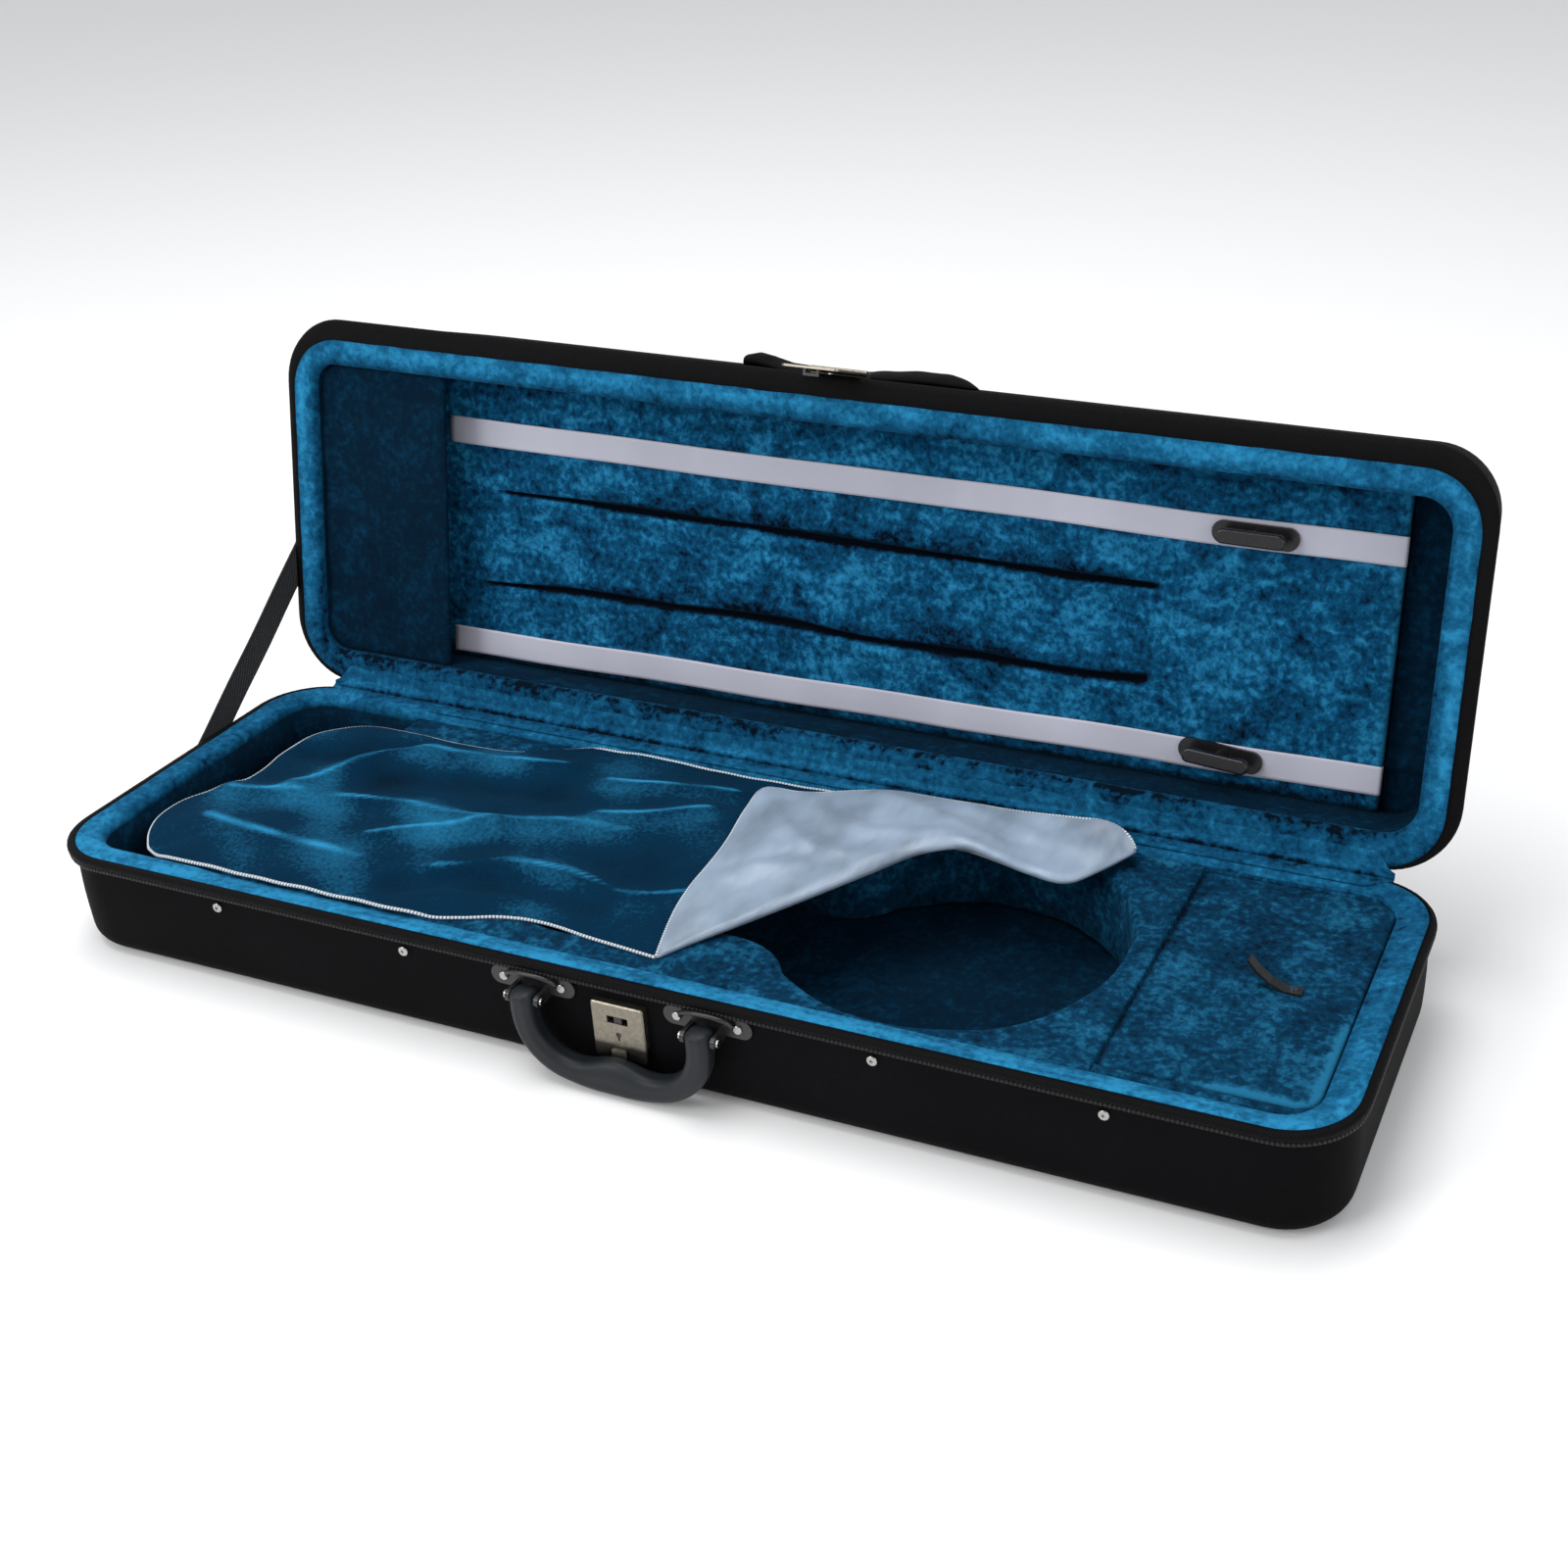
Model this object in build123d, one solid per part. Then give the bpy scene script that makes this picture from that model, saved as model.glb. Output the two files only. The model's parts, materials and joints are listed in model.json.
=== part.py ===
"""Oblong violin case, lid open on its stay strap.

Millimetres, +X to the right along the case, +Y to the hinges, +Z up.
The origin is the centre of the base's underside. Lid pieces are drawn closed and then turned open.
"""
import os

from build123d import *

# Driving sizes of the whole case
LENGTH = 813.0            # over the lip welting
WIDTH = 250.0             # over the welting, front to back
BASE_HEIGHT = 70.0
LID_DEPTH = 56.0
RIM_GAP = 0.8             # between the two rims with the lid shut
LID_OPEN = 101.0          # degrees, where the stay strap stops the lid
CORNER_R = 44.0

# Shells and rims
LIP = 4.0                 # how far the welting stands out at the front and ends
LIP_BACK = 1.0            # and at the hinge side
LIP_HEIGHT = 8.0
EDGE_R = 14.0             # rounded outer edge of the trays
BOARD = 6.0               # floor of each tray
WELT_Y = -2.0             # the welting's middle line, so that the hinges have room at the back
SHELL_FRONT = WELT_Y - WIDTH / 2 + LIP
SHELL_BACK = WELT_Y + WIDTH / 2 - LIP_BACK
SHELL_LENGTH = LENGTH - 2 * LIP
SHELL_END = SHELL_LENGTH / 2
SHELL_WIDTH = SHELL_BACK - SHELL_FRONT
SHELL_Y = (SHELL_BACK + SHELL_FRONT) / 2
BASE_WALL_TOP = BASE_HEIGHT - LIP_HEIGHT
WELL = (773.0, 214.0, 26.0)          # length, width and corner radius inside the base walls
LID_WELL = (765.0, 206.0, 22.0)      # the same inside the lid walls
LID_RIM = BASE_HEIGHT + RIM_GAP
LID_WALL = LID_RIM + LIP_HEIGHT
LID_TOP = LID_RIM + LID_DEPTH
LID_CEILING = LID_TOP - BOARD

# Violin bed and accessory box
BED_TOP = 66.0
BED_LEFT, BED_RIGHT = -292.0, 262.0
PAD = 6.0                            # padding on the floor of the bed and scroll well
BED_FLOOR = BOARD + PAD
BOUT = ((249, 0), (241, 38), (203, 87), (148, 104.5), (105, 95), (78, 78))
WAIST = ((78, 78), (55, 56), (20, 54), (-18, 70))
SHOULDER = ((-18, 70), (-58, 87), (-92, 72), (-108, 30))
BOUT_ENDS = ((0, 1), (-1, -0.9))             # directions in which each curve leaves and arrives
WAIST_ENDS = ((-0.35, -1), (-0.35, 1))
SHOULDER_ENDS = ((-1, 0.9), (-0.2, -1))
CRADLE_X = (-215.0, -180.0)
CRADLE_HALF, CRADLE_TOP, CRADLE_R = 30.0, 42.0, 15.0
NECK_STRAP_X = (-206.0, -189.0)
NECK_STRAP_Y = ((-29.9, -4.0), (4.2, 29.9))
NECK_STRAP_T = 1.2
BOX_LID_Y = (-97.0, 103.0)
BOX_LID_X = (266.3, 382.0)
BOX_LID_T = 5.7
BOX_LID_R = 14.0
BOX_PLAY = 0.5                       # round the lid in the box's mouth
BOX_HOLLOW_X = (272.0, 377.0)
BOX_HOLLOW_Y = (-92.0, 98.0)
BOX_FLOOR = 1.0
LID_REST = BED_TOP - BOX_LID_T
TAB_LINE = ((350, 0), (341, 0), (333, 3.5), (326, 9), (321, 15))     # x and height of the pull tab
TAB_W, TAB_T = 7.0, 1.6
TAB_Y = -1.5
TAB_RIVET_X, TAB_RIVET_R, TAB_RIVET_T = 346.0, 2.6, 1.2

# Lid lining, ribbons and bow clips, all at the lid's closed place
PAD_FACE = 106.8
PAD_END = 352.0
RECESS_X, RECESS_Y, RECESS_DEPTH = (-270.0, 204.0), (-19.0, 42.0), 4.0
END_LINING_T = 2.0
END_SEAM = 1.2
POCKET_END = -287.0
POCKET_Z = (79.8, 84.3)
RIBBON_W, RIBBON_T = 18.0, 1.0
RIBBON_LEFT = -300.0
RIBBONS = {"upper": (-58.0, 0.0), "lower": (85.2, -0.7)}             # y and slope in degrees
CLIPS = {"upper": (264.0, -57.0, 0.0), "lower": (255.0, 81.0, 4.0)}  # x, y and turn in degrees
CLIP_BASE = (53.0, 14.0, 3.0)
CLIP_GAP = 9.0                       # room for a bow stick under the clip
CLIP_BAR = (42.0, 9.0, 4.5)
CLIP_POST_R = 3.5
CLIP_BORE_R = 1.5
CLIP_PIN_R = 1.45
CLIP_PLAY = 0.2

# Hinges
HINGE_Y = SHELL_BACK + LIP_BACK + 2.7
HINGE_Z = BASE_HEIGHT + RIM_GAP / 2
HINGE_X = (-260.0, 0.0, 260.0)
HINGE_W = 60.0
KNUCKLE_R = 2.4
HINGE_PIN_R = 1.2
RUNNING = 0.05                       # radial clearance of a turning fit
LEAF_T = 1.2
LEAF_REACH = 30.0
KNUCKLES = 5
KNUCKLE_GAP = 0.2
HINGE_SCREW_R, HINGE_SCREW_T = 3.0, 1.2

# Handle
HANDLE_X = 55.0
HANDLE_Y = SHELL_FRONT - 11.0
HANDLE_PIN_Z = 51.0
HANDLE_R = 7.5
HANDLE_DROP = 42.7
HANDLE_BEND = 34.0
SWELL_R, SWELL_LENGTH = 8.0, 52.0
SWELL_RISE, SWELL_ROUND = 0.7, 3.0
HANDLE_PIN_R = 1.5
BRACKET = (54.0, 12.0, 1.5)
BRACKET_Z = 55.5
BRACKET_RIVET_R, BRACKET_RIVET_T, BRACKET_RIVET_X = 2.8, 1.4, 18.5
EAR_T, EAR_GAP, EAR_HALF = 2.5, 0.5, 3.6
PIN_HEAD_R, PIN_HEAD_T, PIN_HEAD_GAP = 2.4, 1.3, 0.2

# Lock and hasp
LOCK = (33.0, 5.0, 36.0)             # across, out from the wall, up
LOCK_Z = 19.0
LOCK_FACE = SHELL_FRONT - LOCK[1]
LOCK_R, LOCK_BEVEL = 1.5, 0.7
SLOT = (13.0, 4.6)
SLOT_Z = 45.0
KEYHOLE_Z, KEYHOLE_R, KEYHOLE_DEPTH = 35.5, 1.7, 0.6
KEYWAY_HALF, KEYWAY_LOW = 0.7, 31.8
BOLT_T = 1.3
BOLT_FACE = LOCK_FACE + 0.5
BOLT_Y = BOLT_FACE + BOLT_T / 2
BOLT_PLAY = 0.2
BOLT_HALF, BOLT_Z = 5.0, (23.6, 41.4)
LATCH_HALF, LATCH_TOP = 2.4, 46.6
BOLT_HOLLOW_HALF, BOLT_HOLLOW_Z = 5.4, (20.2, 44.0)
SLIDE_HALF, SLIDE_Z, SLIDE_T = 4.6, (21.0, 26.6), 1.6
STEM_Z = (23.8, 26.0)
STEM_SLOT_HALF, STEM_SLOT_Z = 2.8, (20.6, 26.2)
SPRING = ((-4.6, 20.4), (0, 23.0), (4.6, 20.4), (4.0, 20.3), (0, 22.5), (-4.0, 20.3), (-4.6, 20.4))
SPRING_W = 1.0
HASP_Y = SHELL_FRONT - 6.0
HASP_Z = 84.0
HASP_W = 38.0
HASP_T = 1.3
HASP_TIP = 41.0
HASP_LIFT = 9.0                      # degrees that the plate stands off its shut place
HASP_R = 1.9
HASP_PIN_R = 0.9
HASP_LUG, HASP_LUG_GAP = 9.0, 0.3
HASP_LEAF_T, HASP_LEAF_Z = 1.2, (88.0, 104.0)
STAPLE_HALF, STAPLE_END = 5.2, -124.0
STAPLE_EYE_HALF, STAPLE_EYE_END = 3.4, -125.7
STAPLE_T = 2.0
HASP_RIVET_R, HASP_RIVET_T, HASP_RIVET_X, HASP_RIVET_Z = 2.4, 1.2, 12.0, 96.0
FLAP_X, FLAP_Z, FLAP_R = (-72.0, 70.0), (105.5, 121.0), 7.0
FLAP_OUT = (7.0, 1.4)                # its two faces, measured out from the wall

# Stay strap and small trim
STRAP_W, STRAP_T = 20.0, 1.3
STRAP_X = -LENGTH / 2 - 0.4          # the strap clears the welting
STRAP_BASE = (10.0, 48.0)            # y and z of its lower end
STRAP_LID = (25.0, 91.0)             # y and z of its upper end with the lid shut
STRAP_RIVET_R, STRAP_RIVET_T = 3.4, 1.2
STUD_X = (-274.0, -142.0, 152.0, 280.0)
STUD_Z = 55.0
STUD_R, STUD_T = 3.2, 1.6
STUD_SOCKET_R, STUD_SOCKET_DEPTH = 1.1, 1.0
BLANKET_T = 3.8
BLANKET_FOLD_T = 9.6
BLANKET_Z = BED_TOP + 0.3
BLANKET_SHEET = ((-345, -103), (8, -96), (218, 98), (-345, 103))
BLANKET_FOLD = ((8, -96), (-14, 72), (24, 98), (218, 98))
SIDE = 500.0                         # beyond every face, for a cut that takes a whole side
OVAL = 0.49                          # corner radius of a round-ended plate, as a share of its width


def save(name, *solids):
    """Write one sub-part, a single solid or a group of separate ones, to its own STEP file."""
    export_step(solids[0] if len(solids) == 1 else Compound(children=list(solids)), f"parts/{name}.step")


def block(x, y, z):
    """A box from its two limits along each axis."""
    size = [high - low for low, high in (x, y, z)]
    middle = [(high + low) / 2 for low, high in (x, y, z)]
    return Pos(*middle) * Box(*size)


def slab(length, width, radius, z, y=0.0):
    """A flat plate with rounded corners, centred on x = 0 and y, between two heights."""
    return Pos(0, y, z[0]) * extrude(RectangleRounded(length, width, radius), amount=z[1] - z[0])


def rod(radius, x, y, z):
    """A cylinder along X between two limits."""
    return Pos((x[0] + x[1]) / 2, y, z) * Rot(0, 90, 0) * Cylinder(radius, x[1] - x[0])


def stud(radius, y, z, x, reach):
    """A round head on a front or back wall, reaching along Y, with a softened rim."""
    head = Pos(x, (y + reach) / 2, z) * Rot(90, 0, 0) * Cylinder(radius, abs(reach - y))
    outer = head.faces().sort_by(Axis.Y)[-1 if reach > y else 0]
    return fillet(outer.edges(), abs(reach - y) * 0.6)


def left_of(x):
    """Everything on the left of a plane across the case."""
    return block((-SIDE, x), (-SIDE, SIDE), (-SIDE, SIDE))


def opened(shape):
    """Turn a lid piece from its closed place to its open one."""
    return shape.rotate(Axis((0, HINGE_Y, HINGE_Z), (1, 0, 0)), -LID_OPEN)


def tray(well, walls, floor, outer):
    """A padded tray: rounded block with its outer edge filleted and a well cut in it."""
    body = slab(SHELL_LENGTH, SHELL_WIDTH, CORNER_R - LIP, (min(walls), max(walls)), SHELL_Y)
    closed_end = body.faces().sort_by(Axis.Z)[-1 if outer > floor else 0]
    body = fillet(closed_end.edges(), EDGE_R)
    mouth = walls[0] if outer > floor else walls[1]
    return body - slab(*well, (min(mouth, floor), max(mouth, floor)))


def ring(well, z):
    """The plush band round a rim, from the tray's outer face to its well."""
    band = slab(SHELL_LENGTH, SHELL_WIDTH, CORNER_R - LIP, z, SHELL_Y)
    return band - slab(*well, z)


def welt(z):
    """The welting round a rim, standing out from the tray's wall."""
    outer = slab(LENGTH, WIDTH, CORNER_R, z, WELT_Y)
    return outer - slab(SHELL_LENGTH, SHELL_WIDTH, CORNER_R - LIP, z, SHELL_Y)


def bed_outline():
    """Half of the bed's opening seen from above: lower bout, waist, upper bout and neck channel."""
    bout = Spline(*BOUT, tangents=BOUT_ENDS)
    waist = Spline(*WAIST, tangents=WAIST_ENDS)
    shoulder = Spline(*SHOULDER, tangents=SHOULDER_ENDS)
    neck = Polyline(SHOULDER[-1], (BED_LEFT, SHOULDER[-1][1]), (BED_LEFT, 0), BOUT[0])
    return make_face(Curve() + [bout, waist, shoulder, neck])


def bed(side, x=(BED_LEFT, BED_RIGHT), z=(BOARD, BED_TOP)):
    """The half of the well's padding on one side of the middle line, side -1 front or 1 back."""
    half = (0, WELL[1] / 2) if side > 0 else (-WELL[1] / 2, 0)
    return slab(*WELL, z) & block(x, half, z)


def make_base():
    """Tray, rim, violin bed, scroll well, neck cradle and accessory box."""
    save("base_shell", tray(WELL, (0, BASE_WALL_TOP), BOARD, 0))
    save("base_welting", welt((BASE_WALL_TOP, BASE_HEIGHT)))
    save("base_rim_lining", ring(WELL, (BASE_WALL_TOP, BASE_HEIGHT)))
    outline = bed_outline()
    back_hollow = Pos(0, 0, BOARD) * extrude(outline, amount=BED_TOP - BOARD)
    front_hollow = mirror(back_hollow, about=Plane.XZ)
    save("bed_front_pad", bed(-1) - front_hollow)
    save("bed_back_pad", bed(1) - back_hollow)
    floor = Pos(0, 0, BOARD) * extrude(outline, amount=PAD)
    save("bed_floor_pad", floor + mirror(floor, about=Plane.XZ))
    save("scroll_well_pad", slab(*WELL, (BOARD, BED_FLOOR)) & left_of(BED_LEFT))
    cradle = block(CRADLE_X, (-CRADLE_HALF, CRADLE_HALF), (BED_FLOOR, CRADLE_TOP))
    save("neck_cradle", cradle - rod(CRADLE_R, CRADLE_X, 0, CRADLE_TOP))
    strap_z = (CRADLE_TOP, CRADLE_TOP + NECK_STRAP_T)
    save("neck_straps", *[block(NECK_STRAP_X, y, strap_z) for y in NECK_STRAP_Y])
    box = slab(*WELL, (BOARD, BED_TOP)) - left_of(BED_RIGHT)
    mouth_x = (BOX_LID_X[0] - BOX_PLAY, BOX_LID_X[1] + BOX_PLAY)
    mouth_y = (BOX_LID_Y[0] - BOX_PLAY, BOX_LID_Y[1] + BOX_PLAY)
    box -= box_plate(mouth_x, mouth_y, (LID_REST, BED_TOP))
    box -= block(BOX_HOLLOW_X, BOX_HOLLOW_Y, (BOARD + BOX_FLOOR, LID_REST))
    save("accessory_box", box)


def box_plate(x, y, z):
    """A plate in the accessory box's mouth, with its two far corners rounded."""
    plate = block(x, y, z)
    return fillet(plate.edges().filter_by(Axis.Z).sort_by(Axis.X)[2:], BOX_LID_R)


def make_box_lid():
    """Padded accessory lid with its leather pull tab."""
    save("accessory_lid", box_plate(BOX_LID_X, BOX_LID_Y, (LID_REST + RUNNING, BED_TOP)))
    line = Polyline(*TAB_LINE)
    tab = extrude(make_face(Plane.XZ * offset(Curve() + [line], TAB_T / 2)), amount=TAB_W / 2, both=True)
    low = tab.bounding_box().min.Z
    save("pull_tab", Pos(0, TAB_Y, BED_TOP - low) * tab)
    rivet_z = BED_TOP + TAB_T + TAB_RIVET_T / 2
    save("pull_tab_rivet", Pos(TAB_RIVET_X, TAB_Y, rivet_z) * Cylinder(TAB_RIVET_R, TAB_RIVET_T))


def hinge_leaf(x, up):
    """One hinge leaf, up 1 on the lid or -1 on the base, with its share of the knuckles."""
    step = HINGE_W / KNUCKLES
    wall, foot = SHELL_BACK, HINGE_Z + up * (RIM_GAP / 2 + LIP_HEIGHT)
    tip = foot + up * LEAF_REACH
    near = HINGE_Z + up * (KNUCKLE_R + KNUCKLE_GAP)
    face = (SHELL_BACK + LIP_BACK, SHELL_BACK + LIP_BACK + LEAF_T)
    sides = (x - HINGE_W / 2, x + HINGE_W / 2)
    leaf = block(sides, face, sorted((near, foot + up * LIP_BACK)))
    leaf += block(sides, (wall, face[1]), sorted((foot + up * RUNNING, tip)))
    for index in range(KNUCKLES):
        if (index % 2 == 0) == (up < 0):
            ends = (sides[0] + index * step + KNUCKLE_GAP, sides[0] + (index + 1) * step - KNUCKLE_GAP)
            leaf += rod(KNUCKLE_R, ends, HINGE_Y, HINGE_Z)
            leaf += block(ends, face, sorted((HINGE_Z, near + up * KNUCKLE_GAP)))
    return leaf - rod(HINGE_PIN_R + (RUNNING if up > 0 else 0), (x - HINGE_W, x + HINGE_W), HINGE_Y, HINGE_Z)


def make_hinges():
    """Three butt hinges on the back, their pins and screws."""
    save("hinge_leaves_base", *[hinge_leaf(x, -1) for x in HINGE_X])
    save("hinge_leaves_lid", *[opened(hinge_leaf(x, 1)) for x in HINGE_X])
    half = HINGE_W / 2
    save("hinge_pins", *[rod(HINGE_PIN_R, (x - half, x + half), HINGE_Y, HINGE_Z) for x in HINGE_X])
    face = SHELL_BACK + LIP_BACK + LEAF_T
    places = [x + side * HINGE_W / 3 for x in HINGE_X for side in (-1, 1)]
    drop = RIM_GAP / 2 + LIP_HEIGHT + LEAF_REACH / 2
    head = face + HINGE_SCREW_T
    save("hinge_screws_base", *[stud(HINGE_SCREW_R, face, HINGE_Z - drop, x, head) for x in places])
    save("hinge_screws_lid", *[opened(stud(HINGE_SCREW_R, face, HINGE_Z + drop, x, head)) for x in places])


def make_handle():
    """Rubber handle on two pins, each held by a riveted bracket."""
    grip_z = HANDLE_PIN_Z - HANDLE_DROP
    points = [(-HANDLE_X, HANDLE_PIN_Z), (-HANDLE_X, grip_z), (HANDLE_X, grip_z), (HANDLE_X, HANDLE_PIN_Z)]
    path = Plane.XZ * FilletPolyline(*points, radius=HANDLE_BEND)
    grip = sweep(Plane(origin=path @ 0, z_dir=path % 0) * Circle(HANDLE_R), path=path)
    for side in (-1, 1):
        grip += Pos(side * HANDLE_X, 0, HANDLE_PIN_Z) * Sphere(HANDLE_R)
    swell = rod(SWELL_R, (-SWELL_LENGTH / 2, SWELL_LENGTH / 2), 0, grip_z + SWELL_RISE)
    grip += fillet(swell.edges().filter_by(GeomType.CIRCLE), SWELL_ROUND)
    reach = HANDLE_R + EAR_GAP + EAR_T
    back = SHELL_FRONT - BRACKET[2]
    pins, brackets, rivets = [], [], []
    for side in (-1, 1):
        x = side * HANDLE_X
        grip -= rod(HANDLE_PIN_R, (x - HANDLE_R, x + HANDLE_R), 0, HANDLE_PIN_Z)
        pin = rod(HANDLE_PIN_R, (x - reach - PIN_HEAD_T, x + reach + PIN_HEAD_T), HANDLE_Y, HANDLE_PIN_Z)
        for end in (-1, 1):
            inner = x + end * (reach + PIN_HEAD_GAP)
            pin += rod(PIN_HEAD_R, sorted((inner, inner + end * PIN_HEAD_T)), HANDLE_Y, HANDLE_PIN_Z)
            place = (BRACKET_Z, x + end * BRACKET_RIVET_X)
            rivets.append(stud(BRACKET_RIVET_R, back, *place, back - BRACKET_RIVET_T))
        pins.append(pin)
        brackets.append(bracket(x))
    save("handle_grip", Pos(0, HANDLE_Y, 0) * grip)
    save("handle_pins", *pins)
    save("handle_brackets", *brackets)
    save("handle_bracket_rivets", *rivets)


def bracket(x):
    """An oval plate on the front wall with two ears that carry the handle's pin."""
    length, height, thick = BRACKET
    plate = Rot(90, 0, 0) * extrude(RectangleRounded(length, height, height * OVAL), amount=thick)
    plate = Pos(x, SHELL_FRONT, BRACKET_Z) * plate
    for end in (-1, 1):
        inner = x + end * (HANDLE_R + EAR_GAP)
        sides = sorted((inner, inner + end * EAR_T))
        heights = (HANDLE_PIN_Z - EAR_HALF, HANDLE_PIN_Z + EAR_HALF)
        ear = block(sides, (HANDLE_Y - EAR_HALF, SHELL_FRONT - thick / 2), heights)
        ear = fillet(ear.edges().filter_by(Axis.X).sort_by(Axis.Y)[:2], EAR_HALF * 0.95)
        plate += ear
    return plate - rod(HANDLE_PIN_R + RUNNING, (x - length / 2, x + length / 2), HANDLE_Y, HANDLE_PIN_Z)


def make_lock():
    """Lock case with staple slot and keyhole, its sprung bolt and thumb slide."""
    across, _, up = LOCK
    case = block((-across / 2, across / 2), (LOCK_FACE, SHELL_FRONT), (LOCK_Z, LOCK_Z + up))
    case = fillet(case.edges().filter_by(Axis.Y), LOCK_R)
    case = chamfer(case.faces().sort_by(Axis.Y)[0].edges(), LOCK_BEVEL)
    slot_z = (SLOT_Z - SLOT[1] / 2, SLOT_Z + SLOT[1] / 2)
    case -= block((-SLOT[0] / 2, SLOT[0] / 2), (LOCK_FACE, SHELL_FRONT), slot_z)
    plate_y = (BOLT_FACE, BOLT_FACE + BOLT_T)
    hollow_y = (plate_y[0] - BOLT_PLAY, plate_y[1] + BOLT_PLAY)
    case -= block((-BOLT_HOLLOW_HALF, BOLT_HOLLOW_HALF), hollow_y, BOLT_HOLLOW_Z)
    case -= block((-STEM_SLOT_HALF, STEM_SLOT_HALF), (LOCK_FACE, BOLT_Y), STEM_SLOT_Z)
    case -= Pos(0, LOCK_FACE, KEYHOLE_Z) * Rot(90, 0, 0) * Cylinder(KEYHOLE_R, KEYHOLE_DEPTH)
    keyway_y = (LOCK_FACE, LOCK_FACE + KEYHOLE_DEPTH / 2)
    case -= block((-KEYWAY_HALF, KEYWAY_HALF), keyway_y, (KEYWAY_LOW, KEYHOLE_Z))
    save("lock_case", case)
    bolt = block((-BOLT_HALF, BOLT_HALF), plate_y, BOLT_Z)
    bolt += block((-LATCH_HALF, LATCH_HALF), plate_y, (BOLT_Z[1], LATCH_TOP))
    save("lock_bolt", bolt)
    slide_front = LOCK_FACE - BOLT_PLAY
    slide = block((-SLIDE_HALF, SLIDE_HALF), (slide_front - SLIDE_T, slide_front), SLIDE_Z)
    slide = fillet(slide.edges().filter_by(Axis.Y), SLIDE_T * 0.75)
    slide += block((-LATCH_HALF, LATCH_HALF), (slide_front - BOLT_PLAY, BOLT_FACE), STEM_Z)
    save("lock_slide", slide)
    spring = make_face(Plane.XZ.offset(-BOLT_Y) * Polyline(*SPRING))
    save("lock_spring", extrude(spring, amount=SPRING_W / 2, both=True))


def make_hasp():
    """Hasp on the lid's front wall: fixed leaf, pin, hanging plate and its staple."""
    wall, half = SHELL_FRONT, HASP_W / 2
    leaf_face = wall - HASP_LEAF_T
    leaf = block((-half, half), (leaf_face, wall), HASP_LEAF_Z)
    for sides in ((-half, -half + HASP_LUG), (half - HASP_LUG, half)):
        leaf += block(sides, (HASP_Y, wall), (HASP_Z - HASP_PIN_R, HASP_LEAF_Z[0] + HASP_LEAF_T))
        leaf += rod(HASP_R, sides, HASP_Y, HASP_Z)
    leaf -= rod(HASP_PIN_R, (-half, half), HASP_Y, HASP_Z)
    middle = (-half + HASP_LUG + HASP_LUG_GAP, half - HASP_LUG - HASP_LUG_GAP)
    plate_y = (HASP_Y - HASP_T / 2, HASP_Y + HASP_T / 2)
    shoulder = HASP_Z - HASP_R - 2 * HASP_LUG_GAP
    plate = block((-half, half), plate_y, (HASP_TIP, shoulder))
    plate = fillet(plate.edges().filter_by(Axis.Y).sort_by(Axis.Z)[:2], HASP_R * 1.5)
    plate += block(middle, plate_y, (shoulder, HASP_Z)) + rod(HASP_R, middle, HASP_Y, HASP_Z)
    plate -= rod(HASP_PIN_R + RUNNING, (-half, half), HASP_Y, HASP_Z)
    staple_z = (SLOT_Z - STAPLE_T / 2, SLOT_Z + STAPLE_T / 2)
    staple = block((-STAPLE_HALF, STAPLE_HALF), (plate_y[1], STAPLE_END), staple_z)
    staple -= block((-STAPLE_EYE_HALF, STAPLE_EYE_HALF), (plate_y[1], STAPLE_EYE_END), staple_z)
    lift = Axis((0, HASP_Y, HASP_Z), (1, 0, 0))
    save("hasp_leaf", opened(leaf))
    save("hasp_pin", opened(rod(HASP_PIN_R, (-half, half), HASP_Y, HASP_Z)))
    save("hasp_plate", opened(plate.rotate(lift, -HASP_LIFT)))
    save("hasp_staple", *[opened(solid.rotate(lift, -HASP_LIFT)) for solid in staple.solids()])
    head = leaf_face - HASP_RIVET_T
    rivets = [stud(HASP_RIVET_R, leaf_face, HASP_RIVET_Z, x, head) for x in (-HASP_RIVET_X, HASP_RIVET_X)]
    save("hasp_rivets", *[opened(rivet) for rivet in rivets])
    flap = block(FLAP_X, [wall - out for out in FLAP_OUT], FLAP_Z)
    flap = fillet(flap.edges().filter_by(Axis.Y), FLAP_R)
    save("lock_flap", opened(flap))


def clip_base(x, y, turn):
    """Oval base of a bow clip, with the post and the pin that its bar turns on."""
    length, width, height = CLIP_BASE
    top = PAD_FACE - RIBBON_T
    oval = Pos(0, 0, top - height) * extrude(RectangleRounded(length, width, width * OVAL), amount=height)
    low = top - height - CLIP_GAP
    post = Pos(0, 0, low + CLIP_GAP / 2) * Cylinder(CLIP_POST_R, CLIP_GAP)
    pin = Pos(0, 0, low - CLIP_BAR[2] / 2) * Cylinder(CLIP_PIN_R, CLIP_BAR[2])
    return Pos(x, y, 0) * Rot(0, 0, turn) * (oval + post + pin)


def clip_bar(x, y, turn):
    """The turning bar of a bow clip, a rounded bar on the post's pin."""
    length, width, height = CLIP_BAR
    top = PAD_FACE - RIBBON_T - CLIP_BASE[2] - CLIP_GAP - CLIP_PLAY
    bar = Pos(0, 0, top - height) * extrude(RectangleRounded(length, width, width * OVAL), amount=height)
    bar = fillet(bar.faces().sort_by(Axis.Z)[0].edges(), height / 3)
    bar -= Pos(0, 0, top - height / 2) * Cylinder(CLIP_BORE_R, height)
    return Pos(x, y, 0) * Rot(0, 0, turn) * bar


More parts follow.
